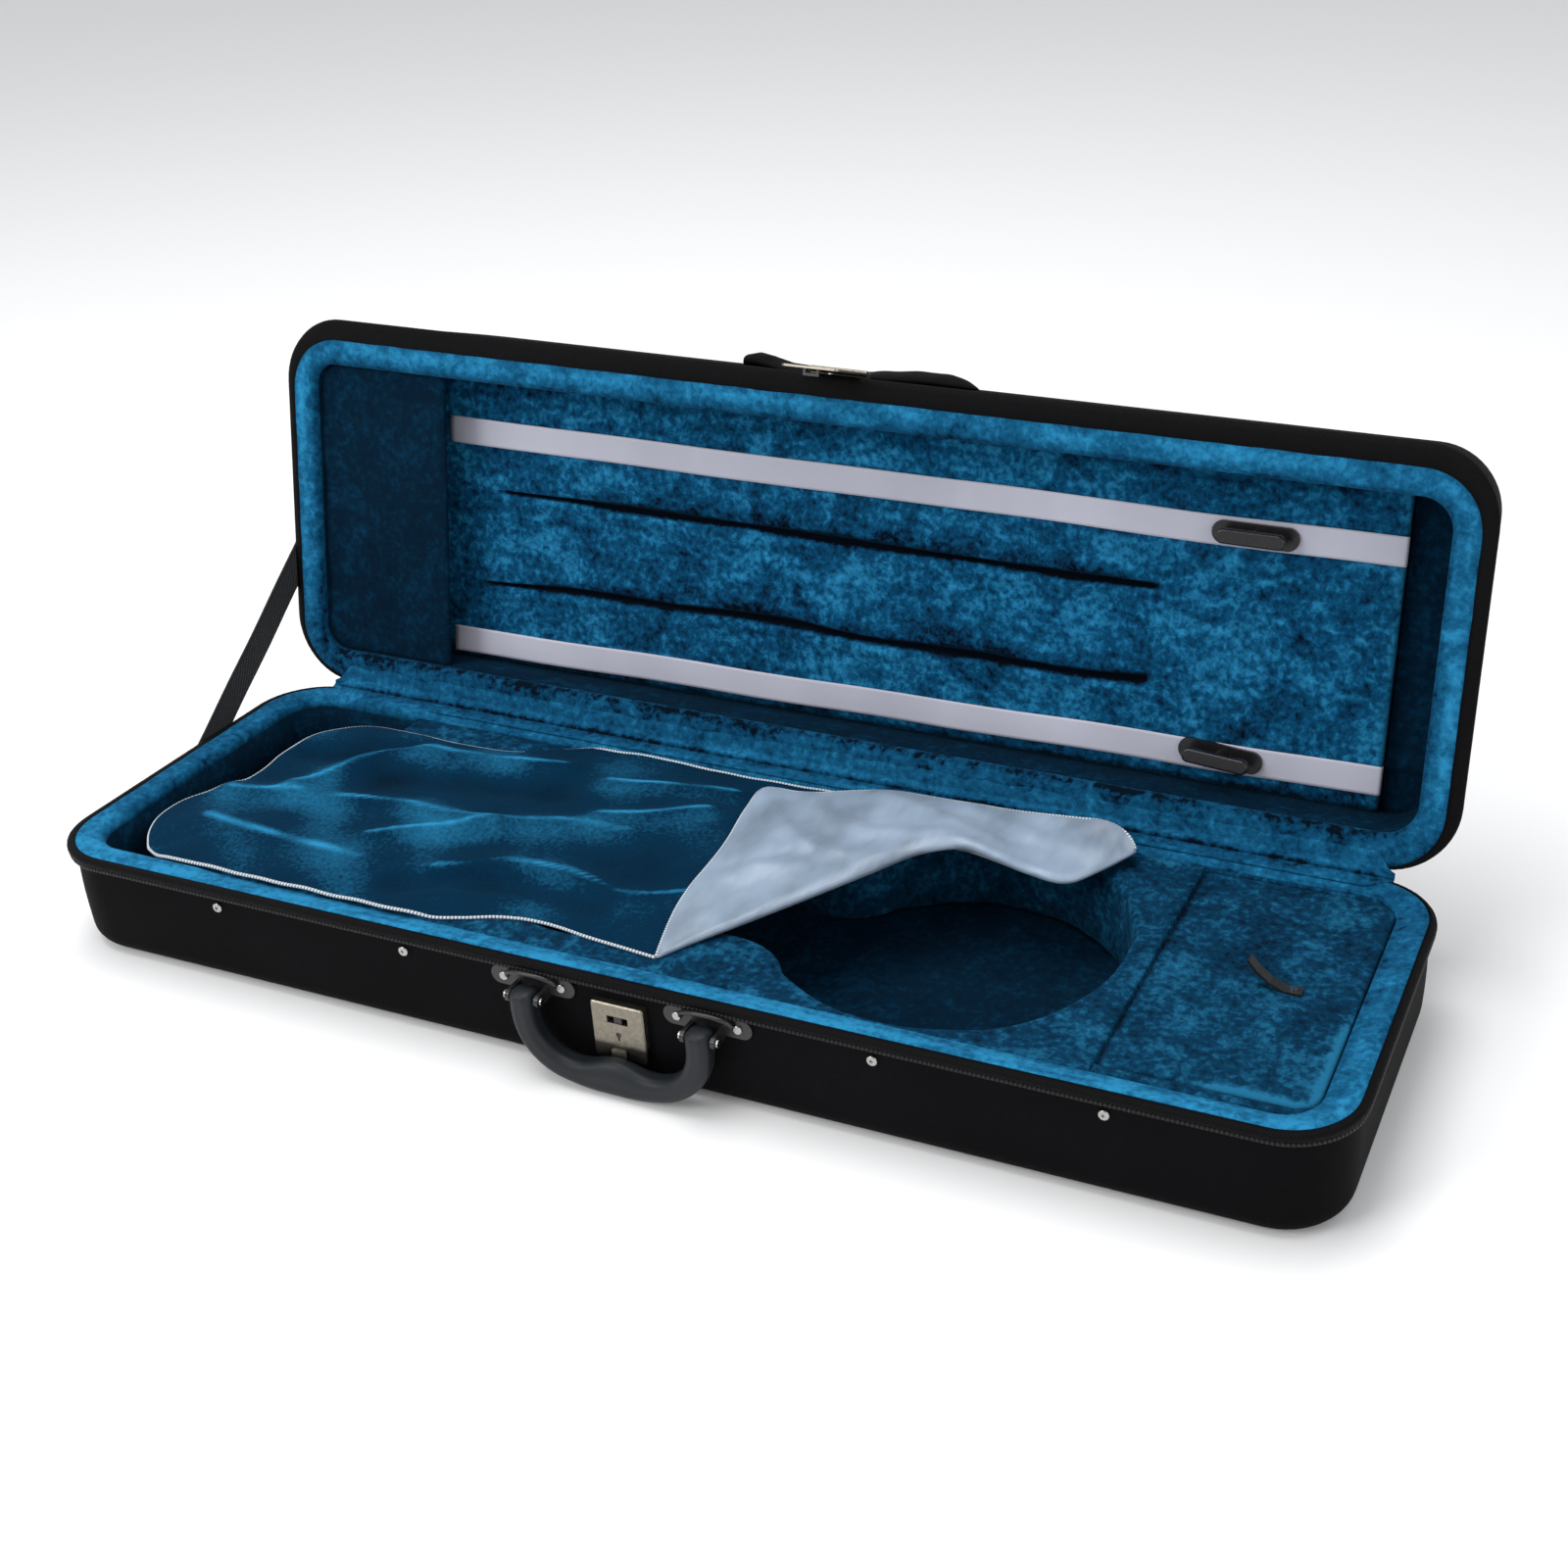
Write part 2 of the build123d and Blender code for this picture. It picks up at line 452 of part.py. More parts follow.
def make_lid():
    """Lid tray, rim, padding, bow-tip pocket, ribbons and bow clips."""
    save("lid_shell", opened(tray(LID_WELL, (LID_WALL, LID_TOP), LID_CEILING, LID_TOP + 1)))
    save("lid_welting", opened(welt((LID_RIM, LID_WALL))))
    save("lid_rim_lining", opened(ring(LID_WELL, (LID_RIM, LID_WALL))))
    pad = slab(*LID_WELL, (PAD_FACE, LID_CEILING)) & left_of(PAD_END)
    pad -= block(RECESS_X, RECESS_Y, (PAD_FACE, PAD_FACE + RECESS_DEPTH))
    save("lid_pad", opened(pad))
    end = slab(*LID_WELL, (LID_CEILING - END_LINING_T, LID_CEILING)) - left_of(PAD_END + END_SEAM)
    save("lid_end_lining", opened(end))
    save("bow_tip_pocket", opened(slab(*LID_WELL, POCKET_Z) & left_of(POCKET_END)))
    face = (PAD_FACE - RIBBON_T, PAD_FACE)
    middle, half = (PAD_END + RIBBON_LEFT) / 2, (PAD_END - RIBBON_LEFT) / 2
    for name, (y, slope) in RIBBONS.items():
        strip = block((-half, half), (-RIBBON_W / 2, RIBBON_W / 2), face)
        save(f"bow_ribbon_{name}", opened(Pos(middle, y, 0) * Rot(0, 0, slope) * strip))
    save("bow_clip_bases", *[opened(clip_base(*place)) for place in CLIPS.values()])
    for name, place in CLIPS.items():
        save(f"bow_clip_{name}", opened(clip_bar(*place)))


def strap_anchor(y, z):
    """The sewn block that carries one end of the stay strap on an end wall."""
    half = STRAP_W / 2
    return block((STRAP_X, -SHELL_END), (y - half, y + half), (z - half, z + half))


def make_strap():
    """Stay strap on the left end, its two anchors and their rivets."""
    low = Vector(0, *STRAP_BASE)
    high = opened(Pos(0, *STRAP_LID) * Box(1, 1, 1)).center()
    run = high - low
    plane = Plane(origin=(STRAP_X, (low.Y + high.Y) / 2, (low.Z + high.Z) / 2), x_dir=run, z_dir=(-1, 0, 0))
    strap = extrude(plane * Rectangle(run.length + STRAP_W * 0.8, STRAP_W), amount=STRAP_T)
    save("stay_strap", strap)
    save("strap_anchor_base", strap_anchor(*STRAP_BASE))
    save("strap_anchor_lid", opened(strap_anchor(*STRAP_LID)))
    head = (STRAP_X - STRAP_T - STRAP_RIVET_T, STRAP_X - STRAP_T)
    save("strap_rivet_base", rod(STRAP_RIVET_R, head, *STRAP_BASE))
    save("strap_rivet_lid", opened(rod(STRAP_RIVET_R, head, *STRAP_LID)))


def front_stud(x):
    """A round screw head on the front wall with a socket in its middle."""
    head = stud(STUD_R, SHELL_FRONT, STUD_Z, x, SHELL_FRONT - STUD_T)
    middle = SHELL_FRONT - STUD_T + STUD_SOCKET_DEPTH / 2
    return head - Pos(x, middle, STUD_Z) * Rot(90, 0, 0) * Cylinder(STUD_SOCKET_R, STUD_SOCKET_DEPTH)


def make_trim():
    """Front studs and the folded-back blanket."""
    save("front_studs", *[front_stud(x) for x in STUD_X])
    base = Pos(0, 0, BLANKET_Z)
    lower = base * extrude(make_face(Polyline(*BLANKET_SHEET, close=True)), amount=BLANKET_T)
    upper = base * extrude(make_face(Polyline(*BLANKET_FOLD, close=True)), amount=BLANKET_FOLD_T)
    save("blanket", lower + upper)


os.makedirs("parts", exist_ok=True)
make_base()
make_box_lid()
make_hinges()
make_handle()
make_lock()
make_hasp()
make_lid()
make_strap()
make_trim()
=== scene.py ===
"""Oblong violin case, lid open: the soft goods and finishes built round its CAD frame.

Lengths in the shape functions are millimetres in the case's own frame: +X along the case,
+Y to the hinges, +Z up.
Lid pieces are worked out with the lid shut and then turned to its open place by opened().
"""

import json
import math

import bmesh
import bpy
import numpy as np
from mathutils import Matrix, Vector


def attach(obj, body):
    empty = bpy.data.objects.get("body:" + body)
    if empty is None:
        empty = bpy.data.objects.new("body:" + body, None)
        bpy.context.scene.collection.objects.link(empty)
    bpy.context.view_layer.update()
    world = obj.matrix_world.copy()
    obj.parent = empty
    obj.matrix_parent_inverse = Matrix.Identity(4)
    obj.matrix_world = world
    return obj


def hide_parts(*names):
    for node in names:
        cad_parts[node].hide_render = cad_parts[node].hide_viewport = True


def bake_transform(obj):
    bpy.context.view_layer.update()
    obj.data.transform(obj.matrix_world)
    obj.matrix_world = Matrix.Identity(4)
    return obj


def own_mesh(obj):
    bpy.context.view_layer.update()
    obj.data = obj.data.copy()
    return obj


bl_info = {
    "name": "Violin Case",
    "version": (1, 0, 0),
    "blender": (4, 5, 0),
    "location": "3D View > Sidebar > Violin Case",
    "description": "Builds the soft goods, handle and finishes of a violin case round its CAD frame",
    "category": "Add Mesh",
}

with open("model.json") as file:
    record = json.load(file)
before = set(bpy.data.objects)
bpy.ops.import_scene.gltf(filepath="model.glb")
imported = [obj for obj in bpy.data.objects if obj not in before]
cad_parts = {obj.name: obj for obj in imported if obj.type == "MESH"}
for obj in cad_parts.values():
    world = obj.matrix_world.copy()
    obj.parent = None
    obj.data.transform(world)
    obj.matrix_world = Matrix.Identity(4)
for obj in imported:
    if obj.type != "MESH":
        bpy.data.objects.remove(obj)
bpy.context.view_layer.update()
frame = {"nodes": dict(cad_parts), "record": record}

MM = 0.001
HINGE_Y, HINGE_Z = 125.7, 70.4
OPEN = math.radians(101.0)

# Outlines as x limits, y limits and corner radii: front right, back right, back left, front left
SHELL = ((-402.5, 402.5), (-123.0, 122.0), (40.0,) * 4)
WELT = ((-406.5, 406.5), (-127.0, 123.0), (44.0,) * 4)
WELL = ((-386.5, 386.5), (-107.0, 107.0), (26.0,) * 4)
LID_WELL = ((-387.0, 382.5), (-98.0, 103.0), (20.0, 22.0, 17.0, 16.0))
LID_PLUSH = ((-402.0, 399.5), (-115.5, 122.0), (37.0, 38.0, 40.0, 37.0))
BOX_OUTER = ((262.0, 386.5), (-107.0, 107.0), (26.0, 26.0, 1.0, 1.0))
BED_WELL = ((-386.5, 383.4), (-107.0, 107.0), (23.0, 23.0, 26.0, 26.0))
BOX_MOUTH = ((265.6, 382.7), (-97.7, 103.7), (14.0, 14.0, 1.5, 1.5))
BOX_HOLLOW = ((272.0, 377.0), (-92.0, 98.0), (8.0,) * 4)
BOX_LID = ((266.3, 382.0), (-97.0, 103.0), (14.0, 14.0, 1.5, 1.5))

LIP_FOOT, RIM = 62.0, 70.0
BED_FLOOR = 12.0
BED_LEFT, BED_RIGHT = -292.0, 265.3
LID_RIM, LID_WALL, LID_TOP, LID_CEILING = 70.8, 78.8, 126.8, 120.8
PAD_FACE, PAD_END = 106.8, 352.0
MIRROR_Z = RIM + LID_RIM             # a base rim band's height and its match on the lid add up to this

SHELL_FLOOR, LINING_FLOOR, PAD_FOOT = 5.7, 6.2, 7.0      # inside of the base, its lining and pads
EDGE_RADIUS, SUNK_EDGE_RADIUS = 14.0, 32.0               # outer edges, and the lid's sunk corner
POCKET_END, POCKET_FACE, POCKET_BACK = -287.0, 79.9, 84.2
BOX_FOOT, BOX_SEAT = 6.4, 60.7                           # undersides of the box's plush and lid
BOX_TOP = 66.3
BRACKET_X, PIN_Y = 55.0, -134.0                          # the handle's brackets and the line of its pins
STRAP_X = -408.2                                         # inner face of the stay strap
BLANKET_REST = 67.3                                      # height of the blanket where it lies on the bed
PATH_STEPS = 60                                          # points along a soft ridge's path

# Fixed tones, some of them painted highlight and shade, and, in metres, the heights between which the lock's
# plate turns to painted shadow
# painted highlight on the tops of the cord's ribs
RIB_TOP_HIGHLIGHT = (0.022, 0.022, 0.026)
# painted shadow on the lock's lower face
PLATE_SHADOW = (0.05, 0.046, 0.042)
PLATE_DARK_Z, PLATE_BRIGHT_Z = 0.0275, 0.0305
# painted shade, middle tone and painted highlight of the webbing's threads
WEBBING_SHADE_TO_HIGHLIGHT = ((0.004, 0.004, 0.005), (0.008, 0.008, 0.009), (0.02, 0.02, 0.022))


# ---------------------------------------------------------------- sizes and colours

class CaseSizes(bpy.types.PropertyGroup):
    """Sizes of the soft goods that a maker would change."""

    rim_crown: bpy.props.FloatProperty(
        name="Rim crown", description="How far the plush rim bands rise above the rim", default=0.35 * MM,
        min=0, max=0.4 * MM,
        subtype="DISTANCE", unit="LENGTH")
    pile_ripple: bpy.props.FloatProperty(
        name="Plush ripple", description="Depth of the soft unevenness of padded plush", default=0.5 * MM,
        min=0, max=2 * MM,
        subtype="DISTANCE", unit="LENGTH")
    crease_depth: bpy.props.FloatProperty(
        name="Crease depth", description="Depth of the two long creases in the lid's padding",
        default=5.0 * MM, min=0,
        max=8 * MM, subtype="DISTANCE", unit="LENGTH")
    blanket_bulge: bpy.props.FloatProperty(
        name="Blanket bulge", description="How far the blanket's middle rises", default=8.0 * MM, min=0,
        max=12 * MM,
        subtype="DISTANCE", unit="LENGTH")
    blanket_thickness: bpy.props.FloatProperty(
        name="Blanket thickness", description="Thickness of the lined blanket", default=1.8 * MM,
        min=0.5 * MM, max=4 * MM,
        subtype="DISTANCE", unit="LENGTH")
    grip_radius: bpy.props.FloatProperty(
        name="Grip radius", description="Radius of the handle's legs", default=7.9 * MM, min=5 * MM,
        max=9 * MM,
        subtype="DISTANCE", unit="LENGTH")
    floor_size: bpy.props.FloatProperty(
        name="Floor size", description="Half the side of the studio floor", default=12.0, min=2, max=40,
        subtype="DISTANCE",
        unit="LENGTH")


def scaled(tone, factor):
    """A colour made darker or lighter by a factor."""
    return tuple(factor * value for value in tone)


def mixed(first, second, share):
    """A colour a share of the way from one to another."""
    return tuple((1 - share) * a + share * b for a, b in zip(first, second))


def colour(name, description, default):
    """A colour property with its words and default."""
    return bpy.props.FloatVectorProperty(
        name=name, description=description, default=default, size=3, min=0, max=1, subtype="COLOR")


class CaseColours(bpy.types.PropertyGroup):
    """Colours of the case's materials."""

    plush_dark: colour("Plush, dark", "Deep shade of the crushed plush", (0.0008, 0.014, 0.038))
    plush_mid: colour("Plush, middle", "Main shade of the crushed plush", (0.0025, 0.066, 0.155))
    plush_light: colour("Plush, light", "Where the pile catches the light", (0.022, 0.235, 0.450))
    velvet: colour("Blanket velvet", "Main shade of the blanket's velvet", (0.0002, 0.022, 0.054))
    satin: colour("Blanket satin", "The blanket's lining", (0.25, 0.32, 0.41))
    nylon: colour("Cover cloth", "The outer cover", (0.0022, 0.0022, 0.0028))
    ribbon: colour("Ribbon satin", "The bow ribbons", (0.46, 0.46, 0.54))
    thread: colour("Edging thread", "The stitching round the blanket", (0.66, 0.72, 0.78))
    rubber: colour("Handle rubber", "The handle", (0.009, 0.0115, 0.0145))
    nickel: colour("Nickel", "Small plated fittings", (0.42, 0.42, 0.40))
    lock_metal: colour("Lock plate", "The lock's warm plating", (0.31, 0.28, 0.225))
    leather: colour("Tab leather", "The pull tab", (0.010, 0.009, 0.009))
    plastic: colour("Clip plastic", "The bow clips", (0.008, 0.007, 0.008))
    floor: colour("Floor", "The studio floor", (0.93, 0.93, 0.93))


# ---------------------------------------------------------------- shape helpers

def opened(points):
    """Turn points about the hinge line: each keeps its distance from it and goes round +X by the angle."""
    y, z = points[..., 1] - HINGE_Y, points[..., 2] - HINGE_Z
    c, s = math.cos(-OPEN), math.sin(-OPEN)
    return np.stack([points[..., 0], HINGE_Y + c * y - s * z, HINGE_Z + s * y + c * z], -1)


def outline(shape, grow=0.0, long_side=110, short_side=34, corner=14):
    """Closed outline of a rounded rectangle, grown outwards: four straight runs, each with a quarter arc."""
    (x0, x1), (y0, y1), radii = shape
    x0, x1, y0, y1 = x0 - grow, x1 + grow, y0 - grow, y1 + grow
    fr, br, bl, fl = [max(r + grow, 0.05) for r in radii]
    runs = [((x0 + fl, y0), (x1 - fr, y0), long_side), ((x1, y0 + fr), (x1, y1 - br), short_side),
            ((x1 - br, y1), (x0 + bl, y1), long_side), ((x0, y1 - bl), (x0, y0 + fl), short_side)]
    arcs = [(x1 - fr, y0 + fr, fr, -90), (x1 - br, y1 - br, br, 0), (x0 + bl, y1 - bl, bl, 90),
            (x0 + fl, y0 + fl, fl, 180)]
    parts = []
    for (a, b, count), (cx, cy, r, turn) in zip(runs, arcs):
        t = np.linspace(0, 1, count, endpoint=False)[:, None]
        parts.append(np.array(a) * (1 - t) + np.array(b) * t)
        angle = np.radians(turn + 90 * np.linspace(0, 1, corner, endpoint=False))
        parts.append(np.stack([cx + r * np.cos(angle), cy + r * np.sin(angle)], -1))
    return np.concatenate(parts)


def flat_sheet(x, y, z):
    """Points of a pad's face or back over a grid of x and y, at one height or one height each."""
    return np.stack([x, y, np.broadcast_to(z, x.shape)], -1)


def spine(points):
    """The outline drawn in to its middle line: y goes to the middle, x stays half a width from each end."""
    low, high = points.min(0), points.max(0)
    half = (high - low).min() / 2
    middle = (low + high) / 2
    if high[0] - low[0] >= high[1] - low[1]:
        return np.stack([np.clip(points[:, 0], low[0] + half, high[0] - half),
                         np.full(len(points), middle[1])], -1)
    return np.stack([np.full(len(points), middle[0]), np.clip(points[:, 1], low[1] + half,
                                                              high[1] - half)], -1)


def at_height(points, z):
    """Plan points lifted to a height, or to one height each."""
    return np.concatenate([points, np.broadcast_to(z, len(points))[:, None]], 1)


def stack(levels):
    """Rows of outlines, each (plan points, height)."""
    return np.stack([at_height(points, z) for points, z in levels])


def between(inner, outer, profile):
    """Rows round a rim: each profile point is a share of the way from inner to outer, and a height."""
    return np.stack([at_height(inner + (outer - inner) * share, z) for share, z in profile])


def ripple(x, y, length, seed):
    """Smooth unevenness from -1 to 1: the mean of seven sine waves in seeded directions."""
    draw = np.random.default_rng(seed)
    total = np.zeros(np.broadcast(x, y).shape)
    for _ in range(7):
        angle, phase, stretch = draw.uniform(0, math.pi), draw.uniform(0, math.tau), draw.uniform(0.7, 1.6)
        total = total + np.sin((x * math.cos(angle) + y * math.sin(angle)) * math.tau / (length * stretch)
                               + phase)
    return total / 3.5


def smooth_step(value, low, high):
    """0 below low, 1 above high and the cubic 3t² - 2t³ between."""
    t = np.clip((value - low) / (high - low), 0, 1)
    return t * t * (3 - 2 * t)


def smooth_path(points, count):
    """A curve through points: cubic pieces, each slope the chord of its neighbours, evenly spaced."""
    points = np.array(points, float)
    steps = np.sqrt((np.diff(points, axis=0) ** 2).sum(1))
    knots = np.concatenate([[0], np.cumsum(steps)])
    slopes = np.gradient(points, knots, axis=0)
    dense = np.linspace(0, knots[-1], count * 8)
    i = np.clip(np.searchsorted(knots, dense, side="right") - 1, 0, len(points) - 2)
    h = steps[i][:, None]
    t = (dense - knots[i])[:, None] / h
    curve = ((2 * t ** 3 - 3 * t ** 2 + 1) * points[i] + (t ** 3 - 2 * t ** 2 + t) * h * slopes[i]
             + (3 * t ** 2 - 2 * t ** 3) * points[i + 1] + (t ** 3 - t ** 2) * h * slopes[i + 1])
    run = np.concatenate([[0], np.cumsum(np.sqrt((np.diff(curve, axis=0) ** 2).sum(1)))])
    even = np.linspace(0, run[-1], count)
    return np.stack([np.interp(even, run, curve[:, k]) for k in range(curve.shape[1])], -1)


def bell(value, middle, width):
    """A soft hump across a line: exp(-((value - middle) / width)²)."""
    return np.exp(-((value - middle) / width) ** 2)


def bumps(x, y, ridges):
    """Height from soft ridges: for each (path, height, width), height times exp(-(distance / width)²)."""
    total = np.zeros(x.shape)
    for path, height, width in ridges:
        line = smooth_path(path, PATH_STEPS)
        far = ((x[..., None] - line[:, 0]) ** 2 + (y[..., None] - line[:, 1]) ** 2).min(-1)
        total += height * np.exp(-far / width ** 2)
    return total


def distances(grid, axis, wrap):
    """Running length in metres along one direction of a grid, with the closing step added when it wraps."""
    nxt = np.roll(grid, -1, axis)
    if not wrap:
        keep = [slice(None)] * 3
        keep[axis] = slice(-1, None)
        nxt[tuple(keep)] = grid[tuple(keep)]
    step = np.sqrt(((nxt - grid) ** 2).sum(-1)).mean(1 - axis)
    return np.concatenate([[0], np.cumsum(step)]) * MM


def new_object(name, points, faces, uv=None):
    """A mesh object at the origin from points in millimetres, quads and a UV pair for each face corner."""
    mesh = bpy.data.meshes.new(name)
    mesh.from_pydata((points * MM).tolist(), [], faces.tolist())
    if uv is not None:
        layer = mesh.uv_layers.new(name="run")
        layer.data.foreach_set("uv", uv.astype(np.float32).ravel())
    obj = bpy.data.objects.new(name, mesh)
    bpy.context.scene.collection.objects.link(obj)
    return obj


def paint(obj, name, values):
    """Hold one number for each point, such as how much painted shade lies in a crease, for the material to
    read.
    """
    layer = obj.data.attributes.new(name, "FLOAT", "POINT")
    layer.data.foreach_set("value", np.asarray(values, np.float32).ravel())
    return obj


def weld(obj, closed=True):
    """Merge doubled points, drop slivers and, on a closed piece, point its faces outwards."""
    work = bmesh.new()
    work.from_mesh(obj.data)
    bmesh.ops.remove_doubles(work, verts=work.verts, dist=2e-6)
    bmesh.ops.dissolve_degenerate(work, dist=1e-6, edges=work.edges)
    if closed:
        bmesh.ops.recalc_face_normals(work, faces=work.faces)
    work.to_mesh(obj.data)
    work.free()
    obj.data.polygons.foreach_set("use_smooth", np.ones(len(obj.data.polygons), bool))
    obj.data.update()
    return obj


def grid_faces(rows, cols, wrap, loop):
    """Corner indices of the quads of a grid, columns closed round if wrap and rows if loop."""
    i, j = np.meshgrid(np.arange(rows if loop else rows - 1), np.arange(cols if wrap else cols - 1),
                       indexing="ij")
    i1, j1 = (i + 1) % rows, (j + 1) % cols
    faces = np.stack([i * cols + j, i * cols + j1, i1 * cols + j1, i1 * cols + j], -1).reshape(-1, 4)
    corners = np.stack([np.stack([j, i], -1), np.stack([j + 1, i], -1), np.stack([j + 1, i + 1], -1),
                        np.stack([j, i + 1], -1)], 2).reshape(-1, 4, 2)
    return faces, corners


def grid_piece(name, grid, wrap=True, loop=False, closed=True, **painted):
    """A piece from a grid of points, with UVs that hold the distance along its columns and rows."""
    faces, corners = grid_faces(*grid.shape[:2], wrap, loop)
    along, across = distances(grid, 1, wrap), distances(grid, 0, loop)
    uv = np.stack([along[corners[..., 0]], across[corners[..., 1]]], -1)
    obj = new_object(name, grid.reshape(-1, 3), faces, uv)
    for label, values in painted.items():
        paint(obj, label, values)
    return weld(obj, closed)


def pad_piece(name, top, bottom, **painted):
    """A closed pad: a grid for its face, a matching grid for its back, and walls between their edges."""
    rows, cols = top.shape[:2]
    count = rows * cols
    face, corners = grid_faces(rows, cols, False, False)
    back = face[:, ::-1] + count
    edge = np.concatenate([np.arange(cols), np.arange(1, rows) * cols + cols - 1,
                           (rows - 1) * cols + np.arange(cols - 2, -1, -1),
                           np.arange(rows - 2, 0, -1) * cols])
    nxt = np.roll(edge, -1)
    wall = np.stack([edge, edge + count, nxt + count, nxt], -1)
    along, across = distances(top, 1, False), distances(top, 0, False)
    uv = np.stack([along[corners[..., 0]], across[corners[..., 1]]], -1)
    uv = np.concatenate([uv, uv[:, ::-1], np.zeros((len(wall), 4, 2))])
    points = np.concatenate([top.reshape(-1, 3), bottom.reshape(-1, 3)])
    obj = new_object(name, points, np.concatenate([face, back, wall]), uv)
    for label, values in painted.items():
        paint(obj, label, np.concatenate([values.ravel(), values.ravel()]))
    return weld(obj)


def tube_piece(name, path, section, closed_path=False):
    """A section, in (side, up) offsets, carried along a path; open ends are closed by their middle point."""
    ahead = np.gradient(path, axis=0)
    if closed_path:
        ahead = np.roll(path, -1, 0) - np.roll(path, 1, 0)
    ahead /= np.linalg.norm(ahead, axis=1)[:, None]
    up = np.array([0, 0, 1.0]) - ahead * ahead[:, 2:3]
    flat = np.linalg.norm(up, axis=1) < 1e-3
    up[flat] = [0, 1.0, 0]
    up /= np.linalg.norm(up, axis=1)[:, None]
    side = np.cross(ahead, up)
    grid = path[None] + side[None] * section[:, None, :1] + up[None] * section[:, None, 1:]
    if not closed_path:
        ends = [np.repeat(grid[:, k].mean(0)[None, None], len(grid), 0) for k in (0, -1)]
        grid = np.concatenate([ends[0], grid, ends[1]], 1)
    return grid_piece(name, grid, wrap=closed_path, loop=True)


def circle(radius, count, flat=1.0):
    """A round or flattened section: radius times cosine across and flat times radius times sine up."""
    angle = np.linspace(0, math.tau, count, endpoint=False)
    return np.stack([radius * np.cos(angle), radius * flat * np.sin(angle)], -1)


def dress(obj, material, body, slot, *nodes):
    """Give a finished piece its material and body, and let it stand for CAD nodes; the slot is not used."""
    for one in material if isinstance(material, (list, tuple)) else [material]:
        obj.data.materials.append(one)
    if body:
        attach(obj, body)
    if nodes:
        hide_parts(*nodes)
    return obj


# ---------------------------------------------------------------- materials

def new_group(name, inputs, outputs):
    """A shader node group with named inputs (name, type, default) and number outputs (name)."""
    group = bpy.data.node_groups.new(name, "ShaderNodeTree")
    for label, kind, default in inputs:
        socket = group.interface.new_socket(label, in_out="INPUT", socket_type=kind)
        if default is not None:
            socket.default_value = default
    for label in outputs:
        group.interface.new_socket(label, in_out="OUTPUT", socket_type="NodeSocketFloat")
    return group, group.nodes.new("NodeGroupInput"), group.nodes.new("NodeGroupOutput")


def node(tree, kind, links=(), **values):
    """A node with its properties set, its inputs set by name, and its (input, socket) links made."""
    made = tree.nodes.new(kind)
    for key, value in values.items():
        if hasattr(made, key) and not isinstance(value, dict):
            setattr(made, key, value)
    for key, value in values.get("inputs", {}).items():
        made.inputs[key].default_value = value
    for key, socket in links:
        tree.links.new(socket, made.inputs[key])
    return made


def math_node(tree, operation, *operands, clamp=False):
    """A maths node on sockets and plain numbers, in their order; its result."""
    links = [(slot, given) for slot, given in enumerate(operands) if not isinstance(given, float)]
    values = {slot: given for slot, given in enumerate(operands) if isinstance(given, float)}
    made = node(tree, "ShaderNodeMath", links, operation=operation, use_clamp=clamp, inputs=values)
    return made.outputs[0]


def noise_node(tree, vector, links=(), **inputs):
    """A noise texture on a vector; its factor."""
    made = node(tree, "ShaderNodeTexNoise", [("Vector", vector), *links], inputs=inputs)
    return made.outputs["Fac"]


def pile_group():
    """Crushed pile: broad patches, small tufts and fine fibre, mixed into one factor and one height."""
    inputs = [("Vector", "NodeSocketVector", None), ("Patch Scale", "NodeSocketFloat", 28.0),
              ("Tuft Scale", "NodeSocketFloat", 240.0), ("Contrast", "NodeSocketFloat", 1.0)]
    group, given, result = new_group("Crushed pile", inputs, ("Shade", "Height"))
    vector = given.outputs["Vector"]
    patch = noise_node(group, vector, [("Scale", given.outputs["Patch Scale"])], Detail=4.0, Roughness=0.62,
                       Distortion=0.8)
    tuft = noise_node(group, vector, [("Scale", given.outputs["Tuft Scale"])], Detail=3.0, Roughness=0.6,
                      Distortion=0.3)
    fibre = noise_node(group, vector, Scale=1400.0, Detail=2.0, Roughness=0.7)
    spread = math_node(group, "SUBTRACT", math_node(group, "ADD", patch, tuft), 1.0)
    strong = math_node(group, "MULTIPLY", spread, given.outputs["Contrast"])
    group.links.new(math_node(group, "ADD", strong, 0.5, clamp=True), result.inputs["Shade"])
    group.links.new(math_node(group, "ADD", tuft, fibre), result.inputs["Height"])
    return group


def weave_group():
    """Plain weave: two sets of sine threads at right angles, each fading where the other passes over."""
    inputs = [("Vector", "NodeSocketVector", None), ("Threads", "NodeSocketFloat", 900.0)]
    group, given, result = new_group("Plain weave", inputs, ("Height",))
    split = node(group, "ShaderNodeSeparateXYZ", [("Vector", given.outputs["Vector"])])
    waves = [math_node(group, "SINE", math_node(group, "MULTIPLY", split.outputs[axis],
                                                given.outputs["Threads"]))
             for axis in ("X", "Y")]
    group.links.new(math_node(group, "MULTIPLY", *waves), result.inputs["Height"])
    return group


def ribs_group():
    """Ribs across a run: a sine of the distance along it, from 0 to 1."""
    inputs = [("Vector", "NodeSocketVector", None), ("Ribs", "NodeSocketFloat", 3000.0)]
    group, given, result = new_group("Cross ribs", inputs, ("Height",))
    split = node(group, "ShaderNodeSeparateXYZ", [("Vector", given.outputs["Vector"])])
    wave = math_node(group, "SINE", math_node(group, "MULTIPLY", split.outputs["X"], given.outputs["Ribs"]))
    group.links.new(math_node(group, "MULTIPLY_ADD", wave, 0.5, 0.5), result.inputs["Height"])
    return group


